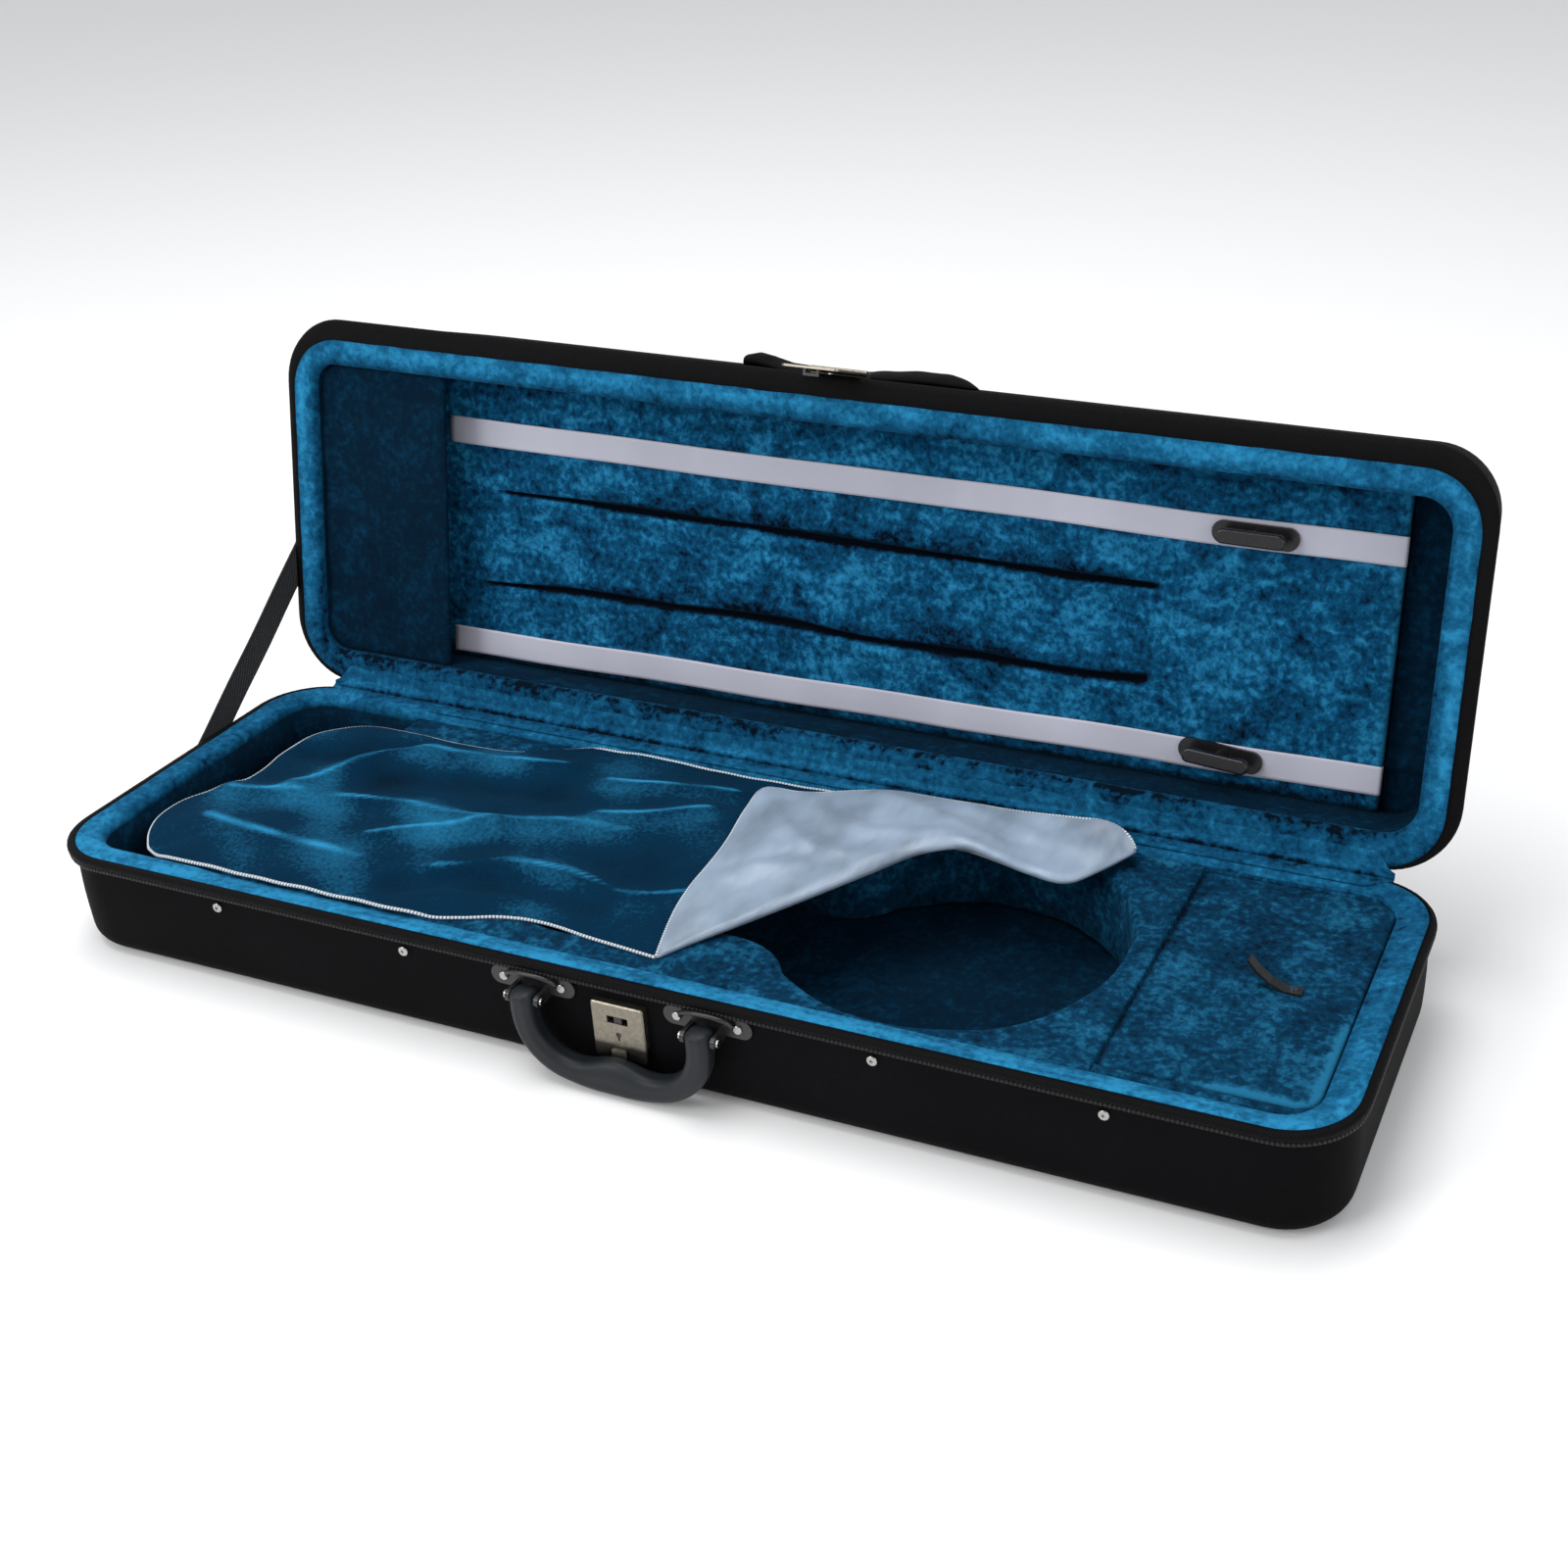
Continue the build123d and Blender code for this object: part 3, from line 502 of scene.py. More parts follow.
class Finish:
    """A material under construction: its tree, its Principled shader and its object coordinates."""

    def __init__(self, name, base=None, roughness=0.5, **sockets):
        self.material = bpy.data.materials.new(name)
        self.material.use_nodes = True
        self.tree = self.material.node_tree
        self.shader = self.tree.nodes["Principled BSDF"]
        self.place = self.tree.nodes.new("ShaderNodeTexCoord")
        self.object = self.place.outputs["Object"]
        self.uv = self.place.outputs["UV"]
        if base is not None:
            self.shader.inputs["Base Color"].default_value = (*base, 1.0)
        self.shader.inputs["Roughness"].default_value = roughness
        for key, value in sockets.items():
            label = key.replace("_", " ").title().replace("Ior", "IOR")
            self.shader.inputs[label].default_value = value

    def group(self, tree, vector, **values):
        """Place a node group on a vector with its own values."""
        made = self.tree.nodes.new("ShaderNodeGroup")
        made.node_tree = tree
        self.tree.links.new(vector, made.inputs["Vector"])
        for key, value in values.items():
            made.inputs[key.replace("_", " ").title()].default_value = value
        return made

    def ramp(self, factor, stops):
        """Colours along a factor, from (place, colour) stops."""
        made = self.tree.nodes.new("ShaderNodeValToRGB")
        ramp = made.color_ramp
        while len(ramp.elements) < len(stops):
            ramp.elements.new(0.5)
        for element, (place, tint) in zip(ramp.elements, stops):
            element.position = place
            element.color = (*tint, 1.0)
        self.tree.links.new(factor, made.inputs["Fac"])
        return made.outputs["Color"]

    def noise(self, scale, detail=3.0, roughness=0.6, stretch=None):
        """A noise texture on object coordinates, or on a stretched copy of them."""
        source = self.object
        if stretch is not None:
            moved = self.tree.nodes.new("ShaderNodeMapping")
            moved.inputs["Scale"].default_value = stretch
            self.tree.links.new(source, moved.inputs["Vector"])
            source = moved.outputs["Vector"]
        return noise_node(self.tree, source, Scale=scale, Detail=detail, Roughness=roughness)

    def bump(self, height, strength, distance):
        """Bump from a height, in metres of depth, laid over any bump already there."""
        made = node(self.tree, "ShaderNodeBump", [("Height", height)],
                    inputs={"Strength": strength, "Distance": distance})
        before = self.shader.inputs["Normal"].links
        if before:
            self.tree.links.new(before[0].from_socket, made.inputs["Normal"])
        self.tree.links.new(made.outputs["Normal"], self.shader.inputs["Normal"])
        return self

    def tint(self, socket):
        """Feed the base colour."""
        self.tree.links.new(socket, self.shader.inputs["Base Color"])
        return self

    def shades(self, factor, tone, low, high, places=(0.3, 0.75)):
        """Feed the base colour from low to high times one tone, along a factor."""
        return self.tint(self.ramp(factor, [(places[0], scaled(tone, low)), (places[1], scaled(tone, high))]))

    def rough(self, factor, low, high):
        """Feed the roughness from a factor between two values."""
        made = node(self.tree, "ShaderNodeMapRange", [("Value", factor)],
                    inputs={"To Min": low, "To Max": high})
        self.tree.links.new(made.outputs["Result"], self.shader.inputs["Roughness"])
        return self


def plush(name, dark, mid, light, pile, patch=26.0, tuft=230.0, contrast=1.25, sheen=0.10):
    """Crushed plush: patches of laid and raised pile, with painted highlights from "gleam" and painted shade
    from "shade".
    """
    made = Finish(name, mid, 0.92, sheen_weight=sheen, sheen_roughness=0.3, sheen_tint=(0.10, 0.50, 0.9, 1.0),
                  specular_ior_level=0.06)
    lay = made.group(pile, made.object, patch_scale=patch, tuft_scale=tuft, contrast=contrast)
    gleam = node(made.tree, "ShaderNodeAttribute", attribute_name="gleam").outputs["Fac"]
    shade = node(made.tree, "ShaderNodeAttribute", attribute_name="shade").outputs["Fac"]
    # Painted light: the gleam attribute lifts the pile tone towards the light colour as painted highlight,
    # and the shade attribute pulls it down towards a near-black stop as painted shade.
    raised = math_node(made.tree, "ADD", gleam, lay.outputs["Shade"], clamp=True)
    sunk = math_node(made.tree, "SUBTRACT", raised, shade, clamp=True)
    made.tint(made.ramp(sunk, [(0.0, scaled(dark, 0.12)), (0.16, dark), (0.5, mid), (0.92, light)]))
    return made.bump(lay.outputs["Height"], 0.55, 0.0011)


def plushes(tones, pile):
    """The five plushes: padding; the bed, a darker copy with painted shade; the rim bands, a lighter copy
    with painted highlight; the pockets, a dark copy with painted shade; and the blanket's velvet.
    """
    dark, mid, light = tones.plush_dark, tones.plush_mid, tones.plush_light
    return {
        "plush": plush("plush_crushed", dark, mid, light, pile),
        "bed": plush("plush_bed_painted_shade", scaled(dark, 0.6), scaled(mid, 0.52), scaled(light, 0.6), pile, patch=30.0,
                     contrast=1.1, sheen=0.06),
        "rim": plush("plush_rim_painted_highlight", mixed(dark, mid, 0.5), mixed(mid, light, 0.2), light, pile, patch=34.0,
                     contrast=1.1, sheen=0.16),
        "deep_painted_shade": plush("plush_pocket_painted_shade", scaled(dark, 0.5), scaled(mid, 0.19), scaled(mid, 0.6), pile,
                      patch=40.0,
                      contrast=0.8, sheen=0.03),
        "velvet": plush("blanket_velvet", scaled(tones.velvet, 0.35), tones.velvet, light, pile, patch=12.0,
                        tuft=420.0, contrast=0.28, sheen=0.07),
    }


def cover_cloth(tones):
    """The outer cover's black cloth: broad unevenness of tone and a fine grain."""
    cloth = Finish("cover_nylon", tones.nylon, 0.7, specular_ior_level=0.05)
    grain = cloth.noise(700.0, 4.0)
    cloth.shades(cloth.noise(9.0, 5.0), tones.nylon, 0.75, 1.5)
    return cloth.rough(grain, 0.58, 0.8).bump(grain, 0.35, 0.0004)


def cord_finish(tones, ribs):
    """Black cord with ribs across its run, with painted highlight on their tops and painted shade between
    them.
    """
    cord = Finish("rim_cord", scaled(tones.nylon, 0.9), 0.45, specular_ior_level=0.2)
    height = cord.group(ribs, cord.uv, ribs=2500.0).outputs["Height"]
    cord.tint(cord.ramp(height, [(0.2, scaled(tones.nylon, 0.4)), (0.9, RIB_TOP_HIGHLIGHT)]))
    return cord.bump(height, 0.9, 0.0008).rough(cord.noise(300.0), 0.35, 0.6)


def binding_finish(tones, weave):
    """The rims' black binding, a fine plain weave."""
    binding = Finish("rim_binding", scaled(tones.nylon, 0.8), 0.6, specular_ior_level=0.08)
    height = binding.group(weave, binding.uv, threads=3600.0).outputs["Height"]
    return binding.bump(height, 0.5, 0.0003).rough(binding.noise(160.0), 0.45, 0.68)


def satin_finish(tones):
    """The blanket's satin lining, with soft creases in height, painted shade in their folds and painted
    highlight on their crests.
    """
    satin = Finish("blanket_satin", tones.satin, 0.36, sheen_weight=0.25, sheen_roughness=0.3,
                   specular_ior_level=0.45)
    folds = satin.noise(26.0, 3.0, 0.5, stretch=(1.0, 0.45, 1.0))
    # Painted shade and highlight: the crease noise darkens the folds and lightens the crests.
    satin.tint(satin.ramp(folds, [(0.32, scaled(tones.satin, 0.62)), (0.52, tones.satin),
                                  (0.7, scaled(tones.satin, 1.22))]))
    return satin.bump(folds, 0.8, 0.008).bump(satin.noise(900.0, 2.0), 0.12, 0.0003)


def ribbon_finish(tones, ribs):
    """Ribbon satin with fine lines across it and long soft changes of tone."""
    ribbon = Finish("ribbon_satin", tones.ribbon, 0.40, sheen_weight=0.2, sheen_roughness=0.3,
                    specular_ior_level=0.4)
    ribbon.shades(ribbon.noise(11.0, 3.0, 0.5, stretch=(1.0, 0.1, 0.1)), tones.ribbon, 0.84, 1.06, (0.3, 0.7))
    return ribbon.bump(ribbon.group(ribs, ribbon.uv, ribs=5200.0).outputs["Height"], 0.2, 0.0002)


def thread_finish(tones, ribs):
    """The overlocked stitches round the blanket: pale loops with dark gaps."""
    thread = Finish("edging_thread", tones.thread, 0.7, sheen_weight=0.2, specular_ior_level=0.3)
    loops = thread.group(ribs, thread.uv, ribs=2900.0).outputs["Height"]
    thread.shades(loops, tones.thread, 0.30, 1.0, (0.15, 0.5))
    return thread.bump(loops, 0.8, 0.0008)


def rubber_finish(tones):
    """The handle's moulded rubber."""
    rubber = Finish("handle_rubber", tones.rubber, 0.5, specular_ior_level=0.28)
    rubber.shades(rubber.noise(18.0, 4.0), tones.rubber, 0.85, 1.2)
    return rubber.rough(rubber.noise(30.0, 4.0), 0.40, 0.56).bump(rubber.noise(520.0, 3.0), 0.18, 0.0004)


def plated(name, tone, low, high):
    """Plated metal, smeared by handling."""
    metal = Finish(name, tone, 0.25, metallic=1.0)
    metal.shades(metal.noise(35.0, 4.0), tone, 0.86, 1.05, (0.3, 0.7))
    smear = metal.noise(60.0, 5.0, 0.7, stretch=(1.0, 1.0, 3.0))
    return metal.rough(smear, low, high).bump(metal.noise(900.0, 2.0), 0.06, 0.0002)


def lock_plate_finish(tones):
    """The lock's plate, speckled with wear: bright down to the foot of its face and, as painted shadow, dark
    below it.
    """
    plate = Finish("lock_plate", tones.lock_metal, 0.35, metallic=1.0)
    # Painted shadow: the plate turns dark below the foot of its face; fine noise speckles the rest.
    height = node(plate.tree, "ShaderNodeSeparateXYZ", [("Vector", plate.object)])
    bright = node(plate.tree, "ShaderNodeMapRange", [("Value", height.outputs["Z"])],
                  inputs={"From Min": PLATE_DARK_Z, "From Max": PLATE_BRIGHT_Z, "To Min": 0.0, "To Max": 0.8})
    wear_and_shadow = math_node(plate.tree, "MULTIPLY", plate.noise(420.0, 3.0), bright.outputs["Result"])
    plate.tint(plate.ramp(wear_and_shadow, [(0.0, PLATE_SHADOW), (0.25, scaled(tones.lock_metal, 0.7)),
                                 (0.6, tones.lock_metal)]))
    return plate.rough(plate.noise(240.0), 0.3, 0.5).bump(plate.noise(420.0, 2.0), 0.3, 0.0003)


def coated(name, tone, low, high, scale, strength):
    """A plain coat, such as paint, moulded plastic or leather, with a fine grain."""
    coat = Finish(name, tone, low, specular_ior_level=0.5)
    grain = coat.noise(scale, 4.0)
    coat.shades(coat.noise(24.0, 4.0), tone, 0.8, 1.35)
    return coat.rough(grain, low, high).bump(grain, strength, 0.0003)


def webbing_finish(weave):
    """The stay strap's black webbing, with painted highlight on the tops of its threads and painted shade
    between them.
    """
    webbing = Finish("webbing_black", WEBBING_SHADE_TO_HIGHLIGHT[1], 0.7, sheen_weight=0.15, specular_ior_level=0.3)
    height = webbing.group(weave, webbing.uv, threads=2800.0).outputs["Height"]
    webbing.tint(webbing.ramp(height, [(0.2, WEBBING_SHADE_TO_HIGHLIGHT[0]), (0.9, WEBBING_SHADE_TO_HIGHLIGHT[2])]))
    return webbing.bump(height, 0.8, 0.0005)


def make_finishes():
    """Every finish of the case, by name."""
    tones = bpy.context.scene.case_colours
    weave, ribs = weave_group(), ribs_group()
    made = plushes(tones, pile_group())
    made["nylon"] = cover_cloth(tones)
    made["cord"] = cord_finish(tones, ribs)
    made["binding"] = binding_finish(tones, weave)
    made["satin"] = satin_finish(tones)
    made["ribbon"] = ribbon_finish(tones, ribs)
    made["thread"] = thread_finish(tones, ribs)
    made["rubber"] = rubber_finish(tones)
    made["nickel"] = plated("nickel", tones.nickel, 0.16, 0.34)
    made["lock_metal"] = plated("lock_metal", tones.lock_metal, 0.28, 0.46)
    made["lock_plate"] = lock_plate_finish(tones)
    made["webbing"] = webbing_finish(weave)
    coats = (("dark_steel", (0.02, 0.02, 0.02), 0.35, 0.5, 300.0, 0.1),
             ("clip_plastic", tones.plastic, 0.22, 0.34, 260.0, 0.08),
             ("bracket_black", (0.012, 0.012, 0.013), 0.26, 0.42, 220.0, 0.12),
             ("tab_leather", tones.leather, 0.32, 0.5, 900.0, 0.4),
             ("spring_steel", (0.35, 0.35, 0.36), 0.3, 0.4, 200.0, 0.05))
    for coat in coats:
        made[coat[0]] = coated(*coat)
    return made


FINISHES = {}


def finish(name):
    """A finish's material by name; all of them are made the first time one is asked for."""
    if not FINISHES:
        FINISHES.update(make_finishes())
    return FINISHES[name].material


# ---------------------------------------------------------------- base

def tray_wall(shape, inner, floor, foot, top, edge_radius, crown):
    """Rows of a tray from its inside floor up to the rim, down the outer wall, round the edge and across.

    Heights run from foot at the rim to top at the closed face; the outer wall puffs out by a sine of its
    height, and the edge is a quarter circle.
    """
    sign = 1.0 if top > foot else -1.0
    rows = [(spine(outline(inner)), floor), (outline(inner), floor), (outline(inner), foot + 0.3 * sign),
            (outline(shape, -0.2), foot + 0.3 * sign)]
    wall_end = top - sign * edge_radius
    for share in np.linspace(0.02, 1, 9):
        puff = 0.7 * math.sin(math.pi * share) - 0.3
        rows.append((outline(shape, puff), foot + (wall_end - foot) * share))
    for turn in np.radians(np.linspace(12, 90, 8)):
        rows.append((outline(shape, -0.3 + edge_radius * (math.cos(turn) - 1)),
                     wall_end + sign * edge_radius * math.sin(turn)))
    rows.append((outline(shape, -edge_radius - 14), top + sign * crown * 0.7))
    rows.append((outline(shape, -edge_radius - 24), top + sign * crown))
    rows.append((spine(outline(shape, -edge_radius - 24)), top + sign * crown))
    return stack(rows)


OPEN_RIM = ((0.02, 61.6), (0.98, 61.6), (1.0, 64.0), (1.0, 66.6), (0.985, 68.2), (0.94, 69.3), (0.86, 69.9),
            (0.74, 70.0),
            (0.6, 70.0), (0.45, 69.95), (0.3, 69.85), (0.18, 69.5), (0.08, 68.8), (0.0, 67.6),
            (-0.045, 66.0), (-0.05, 64.0),
            (-0.03, 62.4))
BED_RIM = ((0.02, 61.6), (0.98, 61.6), (1.0, 64.0), (1.0, 66.6), (0.985, 68.2), (0.94, 69.3), (0.86, 69.8),
           (0.74, 69.7),
           (0.6, 69.3), (0.45, 68.7), (0.3, 68.0), (0.18, 67.4), (0.08, 66.9), (0.0, 66.5), (-0.02, 66.1),
           (-0.02, 65.0),
           (0.0, 62.4))
BINDING_PROFILE = ((-0.3, 65.2), (0.6, 65.0), (0.95, 65.3), (1.06, 66.3), (1.08, 67.6), (1.0, 68.9),
                   (0.7, 69.7), (0.25, 69.95),
                   (-0.2, 69.6), (-0.4, 68.0))


def rim_band(inner, outer, profile):
    """The plush band on a rim: a low cushion whose crown wanders a little along the run.

    profile gives each row's share of the way from the inner to the outer outline, and its height.
    """
    crown = bpy.context.scene.case_sizes.rim_crown / MM
    rows = []
    for share, z in profile:
        points = inner + (outer - inner) * np.broadcast_to(share, len(inner))[:, None]
        lift = smooth_step(z, 67.0, 70.0) * crown * (0.6 + 0.4 * ripple(points[:, 0], points[:, 1], 26.0, 5))
        rows.append(at_height(points, z + lift))
    return np.stack(rows)


def base_rim():
    """The base's band: it rolls over into the well at the scroll end and slopes down to the bed elsewhere."""
    well, bed = outline(WELL), outline(BED_WELL)
    by_bed = smooth_step(well[:, 0], -305.0, -275.0)
    inner = well * (1 - by_bed)[:, None] + bed * by_bed[:, None]
    profile = [(a[0] * (1 - by_bed) + b[0] * by_bed, a[1] * (1 - by_bed) + b[1] * by_bed) for a,
               b in zip(OPEN_RIM, BED_RIM)]
    grid = rim_band(inner, outline(SHELL), profile)
    share = np.array([float(np.mean(row[0])) for row in profile])[:, None]
    x, y = grid[..., 0], grid[..., 1]
    # Painted light: gleam paints the front run of the band brighter, with painted highlights along its crest
    # and in streaks; shade paints the back run and the inner edge darker.
    front = smooth_step(-y, 60.0, 110.0)
    crest = bell(share, 0.72, 0.2) * front
    gleam = (0.20 * front + crest * (0.08 + 0.18 * ripple(x, y, 60.0, 6))
             + 0.10 * front * ripple(x * 0.15, y * 1.5, 9.0, 7))
    shade = 0.06 * (1 - front) + 0.10 * bell(share, 0.05, 0.12)
    return grid_piece("base_rim_plush", grid, loop=True, gleam=gleam, shade=shade)


def lid_rim():
    """The lid's band, drawn as on the base, turned over and opened."""
    grid = rim_band(outline(LID_WELL), outline(LID_PLUSH), OPEN_RIM)
    share = np.array([row[0] for row in OPEN_RIM])[:, None]
    x, y = grid[..., 0], grid[..., 1]
    # Painted light: gleam paints highlights on the crest of the band away from the hinge; shade paints the
    # run by the hinge darker, and both edges of the band.
    by_hinge = smooth_step(y, 70.0, 110.0)
    crest = bell(share, 0.62, 0.22)
    gleam = crest * (1 - by_hinge) * (0.14 + 0.16 * ripple(x, y, 70.0, 9))
    shade = 0.24 * by_hinge + 0.18 * bell(share, 0.0, 0.12) + 0.15 * bell(share, 1.0, 0.1)
    grid[..., 2] = MIRROR_Z - grid[..., 2]
    return grid_piece("lid_rim_plush", opened(grid), loop=True, gleam=gleam, shade=shade)


def rim_binding(name, inner, mirrored):
    """The black binding round a rim's plush, a flattened roll standing out from the wall."""
    grid = between(outline(inner), outline(WELT), BINDING_PROFILE)
    if mirrored:
        grid[..., 2] = MIRROR_Z - grid[..., 2]
        grid = opened(grid)
    return grid_piece(name, grid, loop=True)


def rim_cord(name, mirrored):
    """The ribbed cord sewn below the binding: a round section carried round the wall."""
    shell, welt = outline(SHELL), outline(WELT)
    path = at_height(shell + (welt - shell) * 0.62, 63.5)
    normal = np.array([0, 0, 1.0])
    if mirrored:
        path[:, 2] = MIRROR_Z - path[:, 2]
        path = opened(path)
        normal = opened(normal[None])[0] - opened(np.zeros((1, 3)))[0]
    toward = np.roll(path, -1, 0) - np.roll(path, 1, 0)
    toward /= np.linalg.norm(toward, axis=1)[:, None]
    side = np.cross(toward, normal)
    section = circle(1.4, 10)
    grid = path[None] + side[None] * section[:, None, :1] + normal * section[:, None, 1:]
    return grid_piece(name, grid, wrap=True, loop=True)


def hinge_strip():
    """The plush strip that joins the rims: flat on each, and between them an arc round the hinge line."""
    xs = np.linspace(-374.0, 374.0, 190)
    taper = 1 - 0.8 * smooth_step(np.abs(xs), 358.0, 374.0)
    low = np.array([(112.0, 69.4), (116.0, 70.0), (119.0, 70.35), (121.2, 70.5)])
    high = opened(np.array([(0, 120.0, 70.55), (0, 116.0, 70.5), (0, 112.0, 70.9), (0, 109.0, 71.6)]))[:, 1:]
    turn = np.radians(np.linspace(182, 78, 15))
    arc = np.stack([HINGE_Y + 3.6 * np.cos(turn), HINGE_Z + 3.6 * np.sin(turn)], -1)
    path = np.concatenate([low, arc, high])
    centre = np.array([HINGE_Y - 3.2, HINGE_Z])
    across = centre + (path - centre)[:, None] * taper[:, None]
    grid = np.concatenate([np.broadcast_to(xs[:, None], (len(path), len(xs), 1)), across], -1)
    rows = np.arange(len(path))[:, None]
    # Painted shade: a little all along the strip, and most in the fold round the hinge.
    shade = 0.08 + 0.35 * bell(rows, 6.0, 4.0) + 0 * xs
    return grid_piece("hinge_plush_strip", grid, wrap=False, closed=False, shade=shade)


def bed_half():
    """Half of the bed's opening, y >= 0, and the matching points on the well's edge, as two (n, 2) arrays."""
    bout = smooth_path([(249, 0), (247.5, 20), (241, 38), (226, 65), (203, 87), (176, 100), (148, 104.2),
                        (122, 102), (105, 95), (90, 86), (78, 78)], 90)
    waist = smooth_path([(78, 78), (70, 67), (55, 57), (38, 54), (20, 55), (0, 61), (-18, 70)], 40)
    shoulder = smooth_path([(-18, 70), (-36, 80), (-58, 86), (-78, 82), (-92, 71), (-103, 52),
                            (-108, 30)], 50)
    neck = np.stack([np.linspace(-108, BED_LEFT, 50), np.full(50, 30.0)], -1)
    line = np.concatenate([bout, waist[1:], shoulder[1:], neck[1:]])
    edge = np.stack([line[:, 0], np.full(len(line), 107.0)], -1)
    start = int(np.argmax(line[:, 0] < 176))
    run = np.concatenate([[0], np.cumsum(np.sqrt((np.diff(line[:start + 1], axis=0) ** 2).sum(1)))])
    share = run / run[-1]
    lengths = np.array([0, 107.0, 107.0 + BED_RIGHT - line[start, 0]])
    corner = np.array([(BED_RIGHT, 0), (BED_RIGHT, 107.0), (line[start, 0], 107.0)])
    edge[:start + 1] = np.stack([np.interp(share * lengths[-1], lengths, corner[:, k]) for k in range(2)], -1)
    return line, edge


BED_PROFILE = ((0.0, 0.0, 7.0), (0.0, 0.0, 30.0), (0.0, 0.0, 57.0), (0.6, 0.02, 61.0), (1.8, 0.05, 63.6),
               (3.6, 0.09, 65.2),
               (6.5, 0.15, 66.0), (12.0, 0.3, 66.3), (26.0, 0.5, 66.4), (60.0, 0.7, 66.4),
               (90.0, 0.9, 66.4), (400.0, 0.975, 66.3),
               (400.0, 1.0, 65.4), (400.0, 1.0, 7.0))


def bed_pad():
    """The bed's plush: rows step from the opening to the well's wall, by a distance or a share of the way.

    Each row stands at the lesser of a fixed distance and a share, so that narrow parts keep every row.
    """
    line, edge = bed_half()
    line = np.concatenate([line[::-1], line[1:] * [1, -1]])
    edge = np.concatenate([edge[::-1], edge[1:] * [1, -1]])
    way = edge - line
    length = np.maximum(np.sqrt((way ** 2).sum(1)), 0.1)[:, None]
    rows = []
    for distance, share, z in BED_PROFILE:
        points = line + way / length * np.minimum(distance, share * length)
        soft = smooth_step(z, 63.0, 66.0) * 0.35 * ripple(points[:, 0], points[:, 1], 34.0, 8)
        rows.append(at_height(points, z + soft))
    grid = np.stack(rows)
    caps = [np.repeat(grid[:, k].mean(0)[None, None], len(grid), 0) for k in (0, -1)]
    grid = np.concatenate([caps[0], grid, caps[1]], 1)
    return grid_piece("bed_plush", grid, wrap=False, loop=True)


def flat_pad(name, x, y, z, low, wave, seed, steps=(40, 30)):
    """A soft cushion with its face up: z falls by exp(-distance to its edge) and ripples a little."""
    xs, ys = np.meshgrid(np.linspace(*x, steps[0]), np.linspace(*y, steps[1]))
    inset = np.minimum(np.minimum(xs - x[0], x[1] - xs), np.minimum(ys - y[0], y[1] - ys))
    top = z - 1.4 * np.exp(-inset / 2.5) + wave * ripple(xs, ys, 40.0, seed)
    return pad_piece(name, flat_sheet(xs, ys, top), flat_sheet(xs, ys, low))


def bed_floor():
    """The floor of the bed between the two sides of its opening, with a slight ripple."""
    line, _ = bed_half()
    across = np.linspace(-1, 1, 25)[:, None]
    xs, ys = np.broadcast_to(line[:, 0], (25, len(line))), across * (line[:, 1] + 0.4)
    top = BED_FLOOR - 0.2 + 0.4 * ripple(xs, ys, 38.0, 12)
    return pad_piece("bed_floor_plush", flat_sheet(xs, ys, top)[:, ::-1],
                     flat_sheet(xs, ys, PAD_FOOT)[:, ::-1])


def neck_saddle():
    """The plush cradle under a violin's neck: a block whose top dips by a half-round groove along X."""
    xs, ys = np.meshgrid(np.linspace(-215, -180, 16), np.linspace(-30, 30, 61))
    inset = np.minimum(np.minimum(xs + 215, -180 - xs), 30 - np.abs(ys))
    top = 41.8 - np.sqrt(np.maximum(15.0 ** 2 - ys ** 2, 0)) - 2.0 * np.exp(-inset / 1.6)
    return pad_piece("neck_cradle_plush", flat_sheet(xs, ys, top), flat_sheet(xs, ys, 12.0))


class CASE_OT_base_cover(bpy.types.Operator):
    """Build the base's outer cover, binding and cord"""

    bl_idname = "case.base_cover"
    bl_label = "Base cover"

    def execute(self, context):
        cover = grid_piece("base_cover", tray_wall(SHELL, WELL, SHELL_FLOOR, LIP_FOOT, 0.0, EDGE_RADIUS, 0.0))
        dress(cover, finish("nylon"), "base", "cover_nylon", "base_shell")
        dress(rim_binding("base_binding", SHELL, False), finish("binding"), "base", "welting", "base_welting")
        dress(rim_cord("base_rim_cord", False), finish("cord"), "base", "welting")
        return {"FINISHED"}


